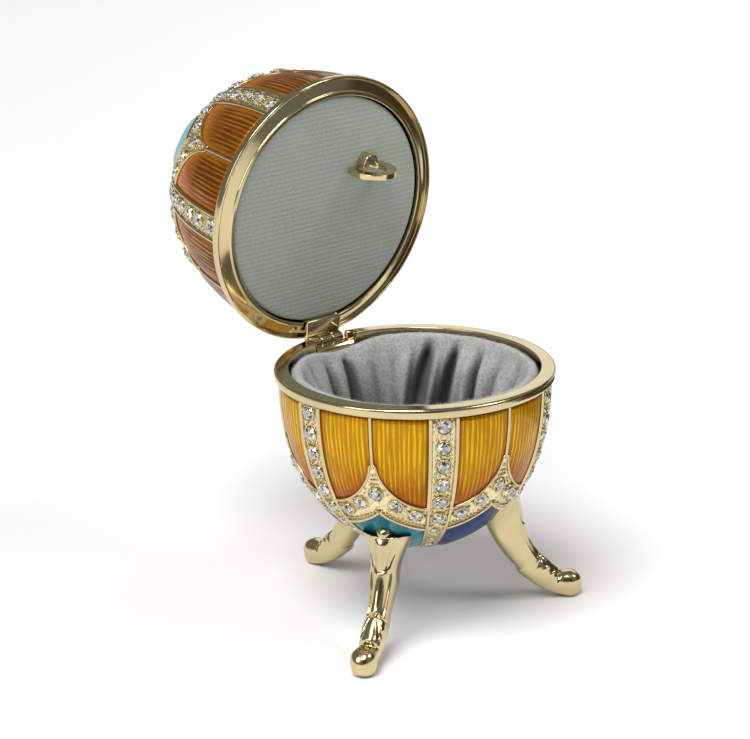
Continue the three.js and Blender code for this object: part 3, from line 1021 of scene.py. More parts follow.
def grain_places(half, size, lift):
    """Grains beside and between the stones, and in rows along the band."""
    rng = random.Random(GRAIN_SEED)
    places = []

    def drop(angle, depth, scale=1.0):
        wobble = rng.uniform(0.85, 1.15)
        angle += rng.uniform(-0.12, 0.12)
        depth += rng.uniform(-0.1, 0.1)
        places.append((angle, depth, lift, size * scale * wobble))

    depths = (ENAMEL_TOP - 0.9, *STRIP_STONES, SMALL_STONES[0])
    for strip in STRIPS:
        for near, far in zip(depths, depths[1:]):
            middle = (near + far) / 2
            for side in (-1, 1):
                wide = math.degrees(1.45 / half.radius(middle))
                drop(strip + side * wide, middle - 0.5)
                drop(strip + side * wide, middle + 0.5)
                drop(strip + side * wide * 0.45, middle, 0.75)
        for depth in (28.3, 31.5, 34.4):
            for side in (-1, 1):
                drop(strip + side * math.degrees(0.9 / half.radius(depth)), depth, 0.75)
    for rib in RIBS:
        for side in (-1, 1):
            for a in spaced(1.5, 22.5, 12):
                drop(rib + side * a, band_depth(a) - 1.05, 0.85)
            for a, drop_by in ((4.6, 1.2), (13.6, 1.2), (22.0, 1.1)):
                drop(rib + side * a, petal_depth(a) + drop_by, 0.9)
                drop(rib + side * (a + 0.9), petal_depth(a) + drop_by + 1.1, 0.8)
        for row, depth in enumerate((15.2, 16.4, 17.5)):
            for a in spaced(-0.55 - row * 0.65, 0.55 + row * 0.65, 2 + row):
                drop(rib + a, depth, 0.85)
    return places


TURN_ON = 2.4               # each copy is turned this much more than the one before it


def set_out(half, name, places, piece, material, slot, smooth_shade=True):
    """Copies of a piece at the places given, as one mesh on the half's body."""
    name = half.name + "_" + name
    mesh = bpy.data.meshes.new(name)
    mesh.from_pydata([tuple(half.place @ half.spot(a, d, lift)) for a, d, lift, _ in places], [], [])
    said = {"facing": [], "along": [], "size": [radius * MM for *_, radius in places]}
    for i, (a, d, _, _) in enumerate(places):
        facing = half.facing(a, d)
        said["facing"].extend(facing)
        said["along"].extend(Matrix.Rotation(i * TURN_ON, 4, facing) @ half.downhill(a, d))
    for key, kind in POINT_VALUES.items():
        field = "value" if kind == "FLOAT" else "vector"
        mesh.attributes.new(key, kind, "POINT").data.foreach_set(field, said[key])
    values = {"Piece": piece, "Finish": material, "Smooth": smooth_shade}
    made = grown(linked(name, mesh), TREES["setting"], values)
    return finished(made, None, half.name, slot)


# ------------------------------------------------------------------ rims
def cup_rim():
    """The cup's rounded rim and its skirt, notched for the hinge."""
    outline = rounded(
        [(RIM_BORE, SKIRT_DEPTH), (RIM_BORE, 0), (RIM_RADIUS, 0), (RIM_RADIUS, 1.9),
         LIP_SHOULDER, (SKIRT_RADIUS, RIM_LIP + 0.1), (SKIRT_RADIUS, SKIRT_DEPTH)],
        [0, 0.25, 0.8, 0.6, 0.3, 0, 0])
    ring = lathe("cup_rim", outline, CUP_PLACE, RIM_STEPS)
    half, outside, top = HINGE_HALF + 0.6, 32, RIM_HEIGHT + 1
    return cut_by(ring, [
        block("notch", (-half, 24.6, HINGE.z - 0.1), (half, outside, top)),
        block("notch_back", (-half, 28.65, HINGE.z - 3), (half, outside, top))])


def lid_rim():
    """The lid's rim, with a locating lip inside, a dished face and a bright edge."""
    outline = rounded(
        [(LID_LIP_INNER, SKIRT_DEPTH), (LID_LIP_INNER, -0.5), (26.75, -0.5), (26.9, -0.16),
         (29.2, 0.75), (29.45, 0.1), (RIM_RADIUS, 0.1), (RIM_RADIUS, 1.9),
         LIP_SHOULDER, (SKIRT_RADIUS, RIM_LIP + 0.1), (SKIRT_RADIUS, SKIRT_DEPTH)],
        [0, 0.2, 0.16, 0.1, 0.1, 0.1, 0.5, 0.6, 0.3, 0, 0])
    ring = lathe("lid_rim_ring", outline, LID_PLACE, RIM_STEPS)
    return cut_by(ring, [block("leaf_room", (-5.0, 23.9, -2), (5.0, 31, -0.05), LID_PLACE)])


# ------------------------------------------------------------------ hinge
def knuckle(start, end, place):
    """A round knuckle along X at the pin, with softened ends."""
    core, edge = 0.0005, 0.18
    outline = [(core, start), (KNUCKLE_RADIUS, start), (KNUCKLE_RADIUS, end), (core, end)]
    along_x = place @ Matrix.Rotation(math.pi / 2, 4, "Y")
    return lathe("knuckle", rounded(outline, [0, edge, edge, 0], 3), along_x, KNUCKLE_STEPS)


def lid_leaf():
    """The lid's leaf, a soft block before the ring, with a knuckle at each end."""
    pin = (0, HINGE.y - AXIS.y, HINGE.z - RIM_HEIGHT - PARTING_GAP)
    at_pin = LID_PLACE @ Matrix.Translation(pin)
    leaf = block("leaf", (-HINGE_HALF, 24.9, -1.6), (HINGE_HALF, 29.6, -0.42), LID_PLACE)
    parts = [bevelled(leaf, 0.38, 4)]
    for side in (-1, 1):
        near, far = sorted((side * (KNUCKLE_HALF + 0.3), side * HINGE_HALF))
        parts.append(knuckle(near, far, at_pin))
        # A neck joins each knuckle to the leaf.
        neck = block("neck", (near, 28.9, -2.0), (far, 30.2, -0.75), LID_PLACE)
        parts.append(bevelled(neck, 0.2, 2))
    return joined("lid_leaf", parts)


def cup_leaf():
    """The cup's leaf behind the ring, a neck and the middle knuckle."""
    at_pin = TO_METRES @ Matrix.Translation(HINGE)
    plate = block("plate", (-HINGE_HALF, 29.5, HINGE.z - 4.4), (HINGE_HALF, 31.0, HINGE.z - 1.6))
    neck = block("neck", (-KNUCKLE_HALF, 29.6, HINGE.z - 2.0), (KNUCKLE_HALF, 30.9, HINGE.z))
    return joined("cup_leaf", [
        bevelled(plate, 0.3), bevelled(neck, 0.15, 2), knuckle(-KNUCKLE_HALF, KNUCKLE_HALF, at_pin)])


# ------------------------------------------------------------------ legs
# Stations down a leg: distance from the egg's axis, height, half depth and half width.
LEG_STATIONS = [Vector(s) for s in (
    (17.6, 25.5, 5.0, 5.4), (19.5, 19.7, 4.1, 3.15), (21.0, 15.5, 3.5, 2.9), (22.9, 12.0, 3.0, 2.5),
    (25.1, 9.0, 2.75, 2.35), (27.4, 6.6, 2.9, 2.6), (29.8, 4.6, 2.7, 2.5), (32.1, 3.3, 2.6, 2.4),
    (34.7, 2.85, 3.05, 2.8))]
LEG_SQUARENESS = 2.6
LEG_ALONG, LEG_AROUND = 250, 72
TOE_RADIUS = 3.05
COLLAR_TOP = 24.7
SOLDER = 0.15               # how far a leg goes into the cup


def through(stations, t):
    """A smooth curve through the stations, t from 0 to 1."""
    last = len(stations) - 1
    along = clamp(t) * last
    i = min(int(along), last - 1)
    u = along - i
    a, b = stations[i], stations[i + 1]
    before = stations[i - 1] if i > 0 else a * 2 - b
    after = stations[i + 2] if i + 2 <= last else b * 2 - a
    return 0.5 * (
        2 * a + (b - before) * u + (2 * before - 5 * a + 4 * b - after) * u ** 2
        + (3 * a - before - 3 * b + after) * u ** 3)


def leg_relief(t, q):
    """How far the front of a leg stands out: t runs down it, q from -1 to 1 across it."""
    side = abs(q)

    def crown(half):
        """A rounded ridge down the middle, 1 high."""
        return max(0.0, 1 - (q / half) ** 2)

    # A column under the collar's ball, and a rounded shaft down the shin between two ridges.
    column = smooth(0.03, 0.06, t) * smooth(0.19, 0.16, t)
    relief = column * 0.5 * crown(0.36)
    shin = smooth(0.18, 0.215, t + 0.02 * side) * smooth(0.53, 0.505, t)
    relief += shin * (0.6 * crown(0.56) - 0.34 * bell(side, 0.64, 0.08))
    relief += 0.26 * bell(side, 0.86, 0.08) * smooth(0.06, 0.14, t) * smooth(0.56, 0.5, t)
    # The collar is creased like a star, and lipped along its top.
    creased = smooth(0.03, 0.06, t) * smooth(0.2, 0.15, t)
    for reach, lean in ((0.42, 1.0), (0.66, 2.2)):
        relief -= 0.3 * bell(side, reach + (0.12 - t) * lean, 0.06) * creased
    relief += 0.4 * smooth(0.5, 1.0, side) * smooth(0.1, 0.02, t)
    # A pointed leaf below the knee, full between two grooves.
    wide = 0.7 * clamp((t - 0.52) / 0.24) ** 0.62
    below = smooth(0.515, 0.535, t) * smooth(0.82, 0.78, t)
    inside = smooth(wide + 0.06, wide - 0.06, side)
    relief += below * (0.05 + 0.42 * inside * crown(max(wide, 0.1)))
    relief -= below * 0.26 * bell(side, wide + 0.1, 0.08)
    relief -= 0.4 * bell(t, 0.515 + 0.05 * side, 0.011)
    # A curl on each side of the foot, and the neck before the toe.
    curl = bell(t, 0.635 + 0.08 * (1 - side), 0.018) + 0.7 * bell(t, 0.72 + 0.1 * (1 - side), 0.015)
    relief += 0.3 * curl * smooth(0.6, 0.8, side)
    relief -= 0.6 * bell(t, 0.84 - 0.02 * side, 0.024)
    return relief


def on_shell(point):
    """Keeps a leg's point above the ground, under the collar's dished top and out of the cup."""
    reach = math.hypot(point.x, point.y)
    point.z = clamp(point.z, 0.0, COLLAR_TOP + 0.3 * (reach - 20.0) + 0.14 * abs(point.y))
    depth = RIM_HEIGHT - point.z
    if depth < CUP.form["height"]:
        least = CUP.radius(depth) - SOLDER
        if 0 < reach < least:
            point.x *= least / reach
            point.y *= least / reach
    return point


def leg_section(centre, heading, deep, wide, t):
    """The points round a leg, its front first; t is 1 beyond the last station."""
    row = []
    for j in range(LEG_AROUND):
        turn = math.tau * j / LEG_AROUND
        c, s = (
            math.copysign(abs(value) ** (2 / LEG_SQUARENESS), value)
            for value in (math.cos(turn), math.sin(turn)))
        out = deep * c + (leg_relief(t, s) * smooth(-0.05, 0.3, c) if t < 1 else 0)
        # The back steps in below the knee.
        out -= 0.45 * smooth(0.2, -0.3, c) * smooth(0.49, 0.5, t) * smooth(0.62, 0.52, t)
        point = Vector((centre.x - heading.y * out, wide * s, centre.y + heading.x * out))
        row.append(on_shell(point))
    return row


def leg(name, angle):
    """A cast leg: collar, shin, knee, leaf, curled foot and toe."""
    rows = []
    for i in range(LEG_ALONG + 1):
        t = i / LEG_ALONG
        here = through(LEG_STATIONS, t)
        ahead, behind = through(LEG_STATIONS, t + 0.002), through(LEG_STATIONS, t - 0.002)
        heading = (ahead - behind).to_2d().normalized()
        rows.append(leg_section(here.to_2d(), heading, here[2], here[3], t))
    for tilt in range(8, 90, 8):
        lean = math.radians(tilt)
        centre = here.to_2d() + heading * TOE_RADIUS * math.sin(lean)
        rows.append(leg_section(centre, heading, here[2] * math.cos(lean), here[3] * math.cos(lean), 1))
    work = Meshwork()
    first = work.grid(rows, wrap=True)
    root = rows[0][0] * 0.5 + rows[0][LEG_AROUND // 2] * 0.5
    toe = here.to_2d() + heading * TOE_RADIUS
    work.close(first, LEG_AROUND, len(rows), root, (toe.x, 0, toe.y))
    # The polished ball at the top of the collar.
    work.bead(Vector((21.2, 0, COLLAR_TOP + 1.3)), 1.55, 28, 16)
    return work.piece(name, AXIS_PLACE @ Matrix.Rotation(math.radians(angle), 4, "Z"))


# ------------------------------------------------------------------ cloth
# The pouch's deep folds: place round the cup in degrees, half width, how deep, and slant.
POUCH_FOLDS = (
    (354, 5.0, 2.2, 0.0), (9, 3.6, 4.0, 0.0), (17, 2.4, 1.0, 0.1), (24, 4.4, 5.6, 0.35),
    (31, 2.4, 1.6, 0.3), (38, 5.0, 5.6, 0.6), (46, 2.4, 1.3, 0.5), (59, 3.0, 0.5, 0.2),
    (72, 3.0, 0.5, 0.1), (88, 3.8, 3.8, 0.3), (104, 3.6, 2.4, 0.2), (121, 3.0, 2.0, 0.4),
    (138, 5.0, 4.0, 0.1), (160, 4.0, 3.2, 0.3), (186, 5.0, 3.6, 0.3), (211, 4.0, 3.8, -0.3),
    (236, 5.0, 3.2, 0.3), (262, 4.0, 3.6, 0.0), (286, 5.0, 3.4, -0.3), (311, 4.0, 3.9, 0.3),
    (335, 4.0, 3.0, -0.2))
# Its way from the rim over the lip and down to the floor: radius and depth.
POUCH_PATH = (
    (26.4, 3.9), (26.3, 2.4), (25.95, 1.4), (25.35, 0.82), (24.6, 0.74), (23.9, 1.4), (23.2, 3.2),
    (22.2, 6.0), (20.9, 9.5), (19.2, 13.5), (17.0, 17.5), (14.3, 21.5), (11.0, 25.5), (7.4, 28.6),
    (3.8, 30.4), (1.1, 31.0))
POUCH_ALONG, POUCH_AROUND = 90, 300
POUCH_GIRTH, POUCH_SIDE = 165, 60       # the cloth's own size on its UV map, mm
SKIRT_ROOM, CUP_ROOM, ROOM_DEPTH = 26.5, 27.2, 38.0     # what it may fill inside the skirt and cup
SKIRT_END = 6                           # the depth where the first gives way to the second
HINGE_AT = 90                           # the hinge's place round the cup, degrees
DISC_FACE = 24.9                        # where the twill's stretched face begins to turn in


def pouch_groove(bearing, depth):
    """How deep the folds run in at a bearing, in degrees round the cup, and a depth."""
    groove = 0.0
    for middle, wide, deep, slant in POUCH_FOLDS:
        away = away_from(bearing, middle + slant * depth)
        spread = wide * (0.75 + 0.5 * depth / 30)
        groove += deep * math.exp(-abs(away / spread) ** 1.7)
    return groove


def pouch_point(bearing, v, here):
    """A point of the pouch, and how much painted shade its colour gets, for how hidden from the light it
    is: in the folds, deeper in the cup and on one broad patch of wall.
    """
    turn = math.radians(bearing)
    fold = smooth(0.6, 8, here.y) * smooth(31, 24, here.y)
    groove = pouch_groove(bearing, here.y)
    swell = noise.noise(Vector(polar(2.2, turn, here.y * 0.07)))
    inward = fold * (1.5 + swell * 1.5 - groove) + 0.25 * swell
    room = SKIRT_ROOM if here.y < SKIRT_END else CUP_ROOM
    within = CUP.radius(here.y, room, ROOM_DEPTH) - 0.4
    r = min(max(here.x - inward, 0.4), within)
    # The lip dips to leave room for the lid's leaf.
    dip = 2.1 * bell(away_from(bearing, HINGE_AT), 0, 17) * smooth(6.0, 1.6, here.y)
    depth = here.y + dip + 0.18 * noise.noise(Vector((bearing * 0.09, v * 8, 3.0)))
    # Painted shade on a broad patch of wall near the hinge, from just below the lip down.
    painted_wall_shade = 0.4 * bell(away_from(bearing, 82), 0, 34) * smooth(0.8, 3.5, here.y)
    # Painted shade: in the folds, growing deeper down the cup, and on that patch.
    hidden = clamp(groove * fold / 4.0 + 0.45 * smooth(4, 20, here.y) + painted_wall_shade)
    return polar(r, -turn, depth), hidden


def pouch():
    """The gathered plush pouch, in the cup's own frame."""
    path = [Vector(station) for station in POUCH_PATH]
    work = Meshwork()
    rows, uv, hidden = [], [], []
    for v in spaced(0.0, 1.0, POUCH_ALONG):
        here = through(path, v)
        rows.append([])
        for j in range(POUCH_AROUND):
            point, shade_here = pouch_point(360 * j / POUCH_AROUND, v, here)
            rows[-1].append(point)
            hidden.append(shade_here)
        uv.append([(j / POUCH_AROUND * POUCH_GIRTH, v * POUCH_SIDE) for j in range(POUCH_AROUND)])
    first = work.grid(rows, uv, {"hidden": hidden}, wrap=True)
    last = first + POUCH_AROUND * (POUCH_ALONG - 1)
    work.fan([last + j for j in range(POUCH_AROUND)], (0, 0, POUCH_PATH[-1][1]))
    cloth = work.piece("pouch", CUP_PLACE)
    # The face of the cloth looks into the cup.
    side = cloth.data.polygons[POUCH_AROUND * POUCH_ALONG // 2]
    if side.normal.dot(CUP_PLACE @ Vector((0, 0, 12)) - side.center) < 0:
        cloth.data.flip_normals()
    return cloth


def twill_disc():
    """Cloth stretched over a card, its edge turned in."""
    work = Meshwork()
    back = 1.4              # how far its turned edge reaches behind its face
    turns = [math.tau * j / DISC_STEPS for j in range(DISC_STEPS)]
    profile = [(r, 0.1 - 0.22 * (1 - (r / DISC_FACE) ** 4)) for r in spaced(0.4, DISC_FACE, 26)]
    edge = DISC_RADIUS - 0.05
    profile += [(edge - 0.35, 0.16), (edge - 0.1, 0.35), (edge, 0.7), (edge, 1.3), (edge - 1.5, back)]
    rows = [[polar(r, turn, z) for turn in turns] for r, z in profile]
    uv = [[point[:2] for point in row] for row in rows]
    first = work.grid(rows, uv, wrap=True)
    work.close(first, DISC_STEPS, len(rows), (0, 0, profile[0][1]), (0, 0, back))
    return work.piece("twill_disc", LID_PLACE)


# ------------------------------------------------------------------ hanging eye
def hanging_eye():
    """A flat ring on edge in the cloth, with a little bowed strap over its root."""
    half, ring_x, ring_y, bore, outside = 0.62, 9.5, -8.5, 3.0, 5.4
    turned = Matrix.Rotation(math.pi / 2, 4, "X")
    at_ring = LID_PLACE @ Matrix.Translation((ring_x, ring_y, -2.7)) @ turned
    corners = [(bore, -half), (outside, -half), (outside, half), (bore, half)]
    outline = rounded(corners, [0.3, 0.16, 0.16, 0.3], 4)
    ring = cut_by(lathe("eye_ring", outline, at_ring, EYE_STEPS), [
        block("in_disc", (0, -20, 0.2), (20, 5, 12), LID_PLACE)])
    # The strap's two feet are straight, and its middle is a half turn.
    foot_share, foot_length, strap_x = 0.12, 0.9, 9.3
    inner, outer, high = 1.25, 2.05, -2.6
    foot_y = ring_y - half + 0.1 - foot_length
    corners = [(inner, 0.0), (outer, 0.0), (outer, high), (inner, high)]
    section = rounded(corners, [0.2, 0.25, 0.25, 0.2], 3)
    rows = []
    for share in spaced(0.0, 1.0, 41):
        turn = math.pi * clamp((share - foot_share) / (1 - 2 * foot_share))
        drop = foot_length * (
            1 - clamp(share / foot_share) + clamp((share - 1 + foot_share) / foot_share))
        rows.append([
            (strap_x + r * math.cos(turn), foot_y - r * math.sin(turn) + drop, z + 0.1)
            for r, z in section + section[:1]])
    work = Meshwork()
    work.grid(rows)
    wide = len(section) + 1
    work.faces.append(list(range(wide - 1)))
    work.faces.append([wide * (len(rows) - 1) + j for j in reversed(range(wide - 1))])
    return joined("eye", [ring, work.piece("strap", LID_PLACE)])


# ------------------------------------------------------------------ stage
CAMERA_EYE, CAMERA_AIM = Vector((-287.64, -340.39, 196.31)), Vector((-5.47, -11.47, 54.96))
FLOOR_SIDE = 80             # m, so that no view sees its end


def looking(eye, aim, roll=0.0):
    """A matrix at eye whose -Z looks at aim."""
    back = (eye - aim).normalized()
    right = Vector((0, 0, 1)).cross(back).normalized()
    up = back.cross(right)
    c, s = math.cos(roll), math.sin(roll)
    turn = Matrix((right * c + up * s, up * c - right * s, back)).transposed().to_4x4()
    return Matrix.Translation(eye) @ turn


def softbox(name, place, aim, size, power):
    """A rectangle of light."""
    light = bpy.data.lights.new(name, "AREA")
    light.shape = "RECTANGLE"
    light.size, light.size_y = size
    light.energy = power
    linked(name, light).matrix_world = looking(place, aim)


def flat_stage(name, size, place, material):
    """A rectangle that is part of the stage, not of the object."""
    mesh = bpy.data.meshes.new(name)
    w, h = size[0] / 2, size[1] / 2
    mesh.from_pydata([(-w, -h, 0), (w, -h, 0), (w, h, 0), (-w, h, 0)], [], [(0, 1, 2, 3)])
    mesh.transform(place)
    mesh.materials.append(material)
    flat = linked(name, mesh)
    return flat


def dark_card(name, place, aim, size):
    """A card that only the polished metal sees."""
    card = flat_stage(name, size, looking(place, aim), FINISHES["card"])
    for sees in ("visible_camera", "visible_diffuse", "visible_shadow", "visible_transmission"):
        setattr(card, sees, False)


# ------------------------------------------------------------------ settings
def length(name, default, description):
    return FloatProperty(name=name, description=description, default=default, unit="LENGTH", precision=5)


def shade(name, default, description):
    return FloatVectorProperty(
        name=name, description=description, default=default, subtype="COLOR", size=3, min=0, max=1)


class EggBoxSizes(bpy.types.PropertyGroup):
    """Sizes of the ornament."""

    stone: length("Stone", 0.0031, "Diameter of a large stone")
    small_stone: length("Small stone", 0.0017, "Diameter of the stones where a strip narrows")
    grain: length("Grain", 0.00036, "Radius of the grains beside the stones")
    bed_lift: length("Bed lift", 0.00016, "How far the pitted beds stand above the egg")
    dome: length("Enamel dome", 0.00022, "How full the amber enamel lies in its cells")
    crown_dome: length("Crown dome", 0.0006, "How full the cup's blue enamels lie in theirs")
    lid_crown_dome: length("Lid crown dome", 0.0011, "How full the lid's blue enamels lie in theirs")
    pile: length("Pile", 0.00055, "Length of the plush's fibres")
    wire_gauge: FloatProperty(
        name="Wire gauge", description="Thickness of the wires, 1 as drawn", default=1.0)
    pile_count: FloatProperty(
        name="Pile density", description="Fibres on a square metre of plush", default=5.5e6)
    seed: IntProperty(name="Seed", description="Seed of the plush's fibres", default=4)


class EggBoxColours(bpy.types.PropertyGroup):
    """Colours of the metals, enamels and cloths."""

    gold: shade("Gold", (0.66, 0.545, 0.315), "Polished plating")
    # Painted shade for the bottom of the pits.
    gold_dark: shade("Gold, in the pits", (0.30, 0.21, 0.06), "Plating at the bottom of the pitted beds")
    gold_bed: shade("Gold bed", (0.86, 0.745, 0.47), "Plating of the pitted beds")
    amber_bright: shade("Amber lines", (0.74, 0.45, 0.008), "Enamel over the engraved lines")
    amber_deep: shade("Amber", (0.47, 0.215, 0.003), "Enamel between the lines")
    amber_burnt: shade("Burnt amber", (0.34, 0.085, 0.0005), "Enamel where it lies thick")
    # The lid's amber is the same enamel as the cup's, mostly set darker as painted shade.
    lid_bright: shade("Lid amber lines", (0.42, 0.175, 0.01), "Enamel over the lid's engraved lines")
    lid_deep: shade("Lid amber", (0.115, 0.027, 0.002), "Enamel between the lid's lines")
    lid_burnt: shade("Lid orange", (0.52, 0.16, 0.002), "Enamel near the lid's wires")
    teal_light: shade("Pale teal", (0.16, 0.45, 0.50), "Streaks in the teal")
    teal: shade("Teal", (0.03, 0.21, 0.26), "Teal enamel")
    teal_dark: shade("Deep teal", (0.008, 0.09, 0.13), "Shadows in the teal")
    lid_teal_light: shade("Lid's pale blue", (0.42, 0.62, 0.66), "Streaks in the lid's pale blue")
    lid_teal: shade("Lid's blue", (0.20, 0.40, 0.46), "Pale blue enamel")
    lid_teal_dark: shade("Lid's deep blue", (0.08, 0.22, 0.28), "Shadows in the lid's pale blue")
    cobalt_light: shade("Pale cobalt", (0.035, 0.08, 0.27), "Streaks in the cobalt")
    cobalt: shade("Cobalt", (0.006, 0.022, 0.12), "Cobalt enamel")
    cobalt_dark: shade("Deep cobalt", (0.002, 0.007, 0.05), "Shadows in the cobalt")
    # Colour of the brightest painted facet reflections.
    crystal: shade("Crystal", (0.96, 0.97, 0.95), "The stones' brightest facets")
    plush: shade("Plush", (0.49, 0.495, 0.475), "Tips of the pile")
    plush_dark: shade("Plush, deep", (0.22, 0.223, 0.212), "Roots of the pile")
    twill: shade("Twill", (0.45, 0.49, 0.44), "Ribs of the cloth")
    twill_dark: shade("Twill, deep", (0.22, 0.245, 0.215), "Between the ribs")
    twill_tint: shade("Twill, tinted", (0.40, 0.43, 0.36), "Where the cloth has yellowed")
    floor: shade("Floor", (0.86, 0.86, 0.86), "The plain floor")
    card: shade("Card", (0.06, 0.032, 0.016), "The dark card that the metal mirrors")


def sizes():
    """The scene's sizes."""
    return bpy.context.scene.egg_box_sizes


def colours():
    """The scene's colours."""
    return bpy.context.scene.egg_box_colours


# ------------------------------------------------------------------ operators
class EGGBOX_OT_finishes(bpy.types.Operator):
    """Mix the metals, enamels and cloths, and draw up the trees that repeat pieces"""

    bl_idname = "eggbox.finishes"
    bl_label = "Finishes"

    def execute(self, context):
        c = {name: tuple(getattr(colours(), name)) for name in EggBoxColours.__annotations__}
        FINISHES.update(
            polished=gold_finish("polished_gold", c["gold"], 0.07, 0.04),
            cast=gold_finish("cast_gold", c["gold"], 0.1, 0.12),
            grained=grained_finish("grained_gold", c["gold_bed"], c["gold_dark"]),
            amber=amber_finish("amber_enamel", c["amber_bright"], c["amber_deep"], c["amber_burnt"]),
            # The lid's amber: the cup's enamel with its colours mostly darkened as painted shade.
            lid_amber=amber_finish("brown_amber_enamel", c["lid_bright"], c["lid_deep"], c["lid_burnt"]),
            teal=mottled_finish("teal_enamel", c["teal_light"], c["teal"], c["teal_dark"]),
            lid_teal=mottled_finish(
                "pale_blue_enamel", c["lid_teal_light"], c["lid_teal"], c["lid_teal_dark"]),
            cobalt=mottled_finish("cobalt_enamel", c["cobalt_light"], c["cobalt"], c["cobalt_dark"]),
            crystal=crystal_finish("crystal", c["crystal"]),
            plush=plush_finish("grey_plush", c["plush"], c["plush_dark"]),
            twill=twill_finish("grey_twill", c["twill"], c["twill_dark"], c["twill_tint"]),
            floor=plain_finish("plain_floor", c["floor"]),
            card=plain_finish("dark_card", c["card"]),
        )
        TREES.update(wire=wire_tree(), setting=setting_tree(), pile=pile_tree())
        return {"FINISHED"}


class EGGBOX_OT_castings(bpy.types.Operator):
    """Turn both metal shells and their bosses"""

    bl_idname = "eggbox.castings"
    bl_label = "Castings"

    def execute(self, context):
        for half, node in ((CUP, "base_shell"), (LID, "lid_shell")):
            finished(casting(half), FINISHES["cast"], half.name, "gold_metal", node)
            gilded(boss(half), half.name)
        return {"FINISHED"}


class EGGBOX_OT_beds(bpy.types.Operator):
    """Raise the pitted beds of the strips and the scalloped bands"""

    bl_idname = "eggbox.beds"
    bl_label = "Strips and bands"

    def execute(self, context):
        for half in HALVES:
            piece = beds(half, sizes().bed_lift / MM, half.form["height"] - BED_END)
            finished(piece, FINISHES["grained"], half.name, "gold_metal")
        return {"FINISHED"}


class EGGBOX_OT_enamels(bpy.types.Operator):
    """Fill the cells with amber, teal and cobalt enamel"""

    bl_idname = "eggbox.enamels"
    bl_label = "Enamels"

    def execute(self, context):
        for half, amber, teal, fullness in (
                (CUP, "amber", "teal", sizes().crown_dome),
                (LID, "lid_amber", "lid_teal", sizes().lid_crown_dome)):
            petals = petal_panels(half, sizes().dome / MM)
            finished(petals, FINISHES[amber], half.name, "amber_enamel")
            end = half.form["height"] - ENAMEL_END
            teal_at = [rib for rib in RIBS if rib not in half.cobalt_at]
            for name, finish, ribs in (("teal", teal, teal_at), ("cobalt", "cobalt", half.cobalt_at)):
                crown = crown_panels(half, name, ribs, fullness / MM, end)
                finished(crown, FINISHES[finish], half.name, name + "_enamel")
        return {"FINISHED"}


class EGGBOX_OT_wires(bpy.types.Operator):
    """Lay the round wires between the enamels and the beds"""

    bl_idname = "eggbox.wires"
    bl_label = "Wires"

    def execute(self, context):
        for half in HALVES:
            curve = wires(half, sizes().wire_gauge, half.form["height"] - WIRE_END)
            piece = grown(curve, TREES["wire"], {"Sides": 10, "Finish": FINISHES["polished"]})
            finished(piece, None, half.name, "gold_metal")
        return {"FINISHED"}


class EGGBOX_OT_stones(bpy.types.Operator):
    """Set the stones in their collets"""

    bl_idname = "eggbox.stones"
    bl_label = "Stones"

    def execute(self, context):
        stone, ring = cut_stone(), collet()
        for half in HALVES:
            places = stone_places(half, sizes().stone / MM, sizes().small_stone / MM, STONE_LIFT)
            set_out(half, "stones", places, stone, FINISHES["crystal"], "crystal", False)
            set_out(half, "collets", places, ring, FINISHES["polished"], "gold_metal")
        discard(stone)
        discard(ring)
        return {"FINISHED"}


class EGGBOX_OT_grains(bpy.types.Operator):
    """Strew the grains beside the stones and along the bands"""

    bl_idname = "eggbox.grains"
    bl_label = "Grains"

    def execute(self, context):
        bead = grain()
        for half in HALVES:
            places = grain_places(half, sizes().grain / MM, sizes().bed_lift / MM + GRAIN_LIFT)
            set_out(half, "grains", places, bead, FINISHES["polished"], "gold_metal")
        discard(bead)
        return {"FINISHED"}


class EGGBOX_OT_rims(bpy.types.Operator):
    """Turn the two polished rims"""

    bl_idname = "eggbox.rims"
    bl_label = "Rims"

    def execute(self, context):
        gilded(cup_rim(), "cup", "base_rim")
        gilded(lid_rim(), "lid", "lid_rim")
        return {"FINISHED"}


class EGGBOX_OT_hinge(bpy.types.Operator):
    """Make the hinge's leaves, and plate its pin"""

    bl_idname = "eggbox.hinge"
    bl_label = "Hinge"

    def execute(self, context):
        gilded(lid_leaf(), "lid", "lid_hinge_leaf")
        gilded(cup_leaf(), "cup", "base_hinge_leaf")
        pin = frame["nodes"]["hinge_pin"]
        pin.data.materials.clear()
        pin.data.materials.append(FINISHES["polished"])
        return {"FINISHED"}


class EGGBOX_OT_legs(bpy.types.Operator):
    """Sculpt the three curved legs"""

    bl_idname = "eggbox.legs"
    bl_label = "Legs"

    def execute(self, context):
        for node, angle in LEG_ANGLES.items():
            finished(leg("cast_" + node, angle), FINISHES["cast"], "cup", "gold_metal", node)
        return {"FINISHED"}


class EGGBOX_OT_pouch(bpy.types.Operator):
    """Gather the plush pouch into the cup"""

    bl_idname = "eggbox.pouch"
    bl_label = "Plush pouch"

    def execute(self, context):
        cloth = pouch()
        base = linked("pile", cloth.data.copy())
        pile = grown(base, TREES["pile"], {
            "Density": sizes().pile_count, "Length": sizes().pile, "Lean": 0.5,
            "Seed": sizes().seed, "Finish": FINISHES["plush"]})
        finished(pile, None, "cup", "grey_plush")
        finished(cloth, FINISHES["plush"], "cup", "grey_plush", "base_lining")
        return {"FINISHED"}


class EGGBOX_OT_twill(bpy.types.Operator):
    """Stretch the twill over the lid's card"""

    bl_idname = "eggbox.twill"
    bl_label = "Twill disc"

    def execute(self, context):
        cloth = finished(twill_disc(), FINISHES["twill"], "lid", "grey_twill", "lid_lining")
        across = (2 * DISC_RADIUS + 2) * MM
        math.pi * across ** 2 / 4
        return {"FINISHED"}


class EGGBOX_OT_eye(bpy.types.Operator):
    """Make the hanging eye in the lid"""

    bl_idname = "eggbox.eye"
    bl_label = "Hanging eye"

    def execute(self, context):
        gilded(hanging_eye(), "lid", "hanging_eye")
        return {"FINISHED"}


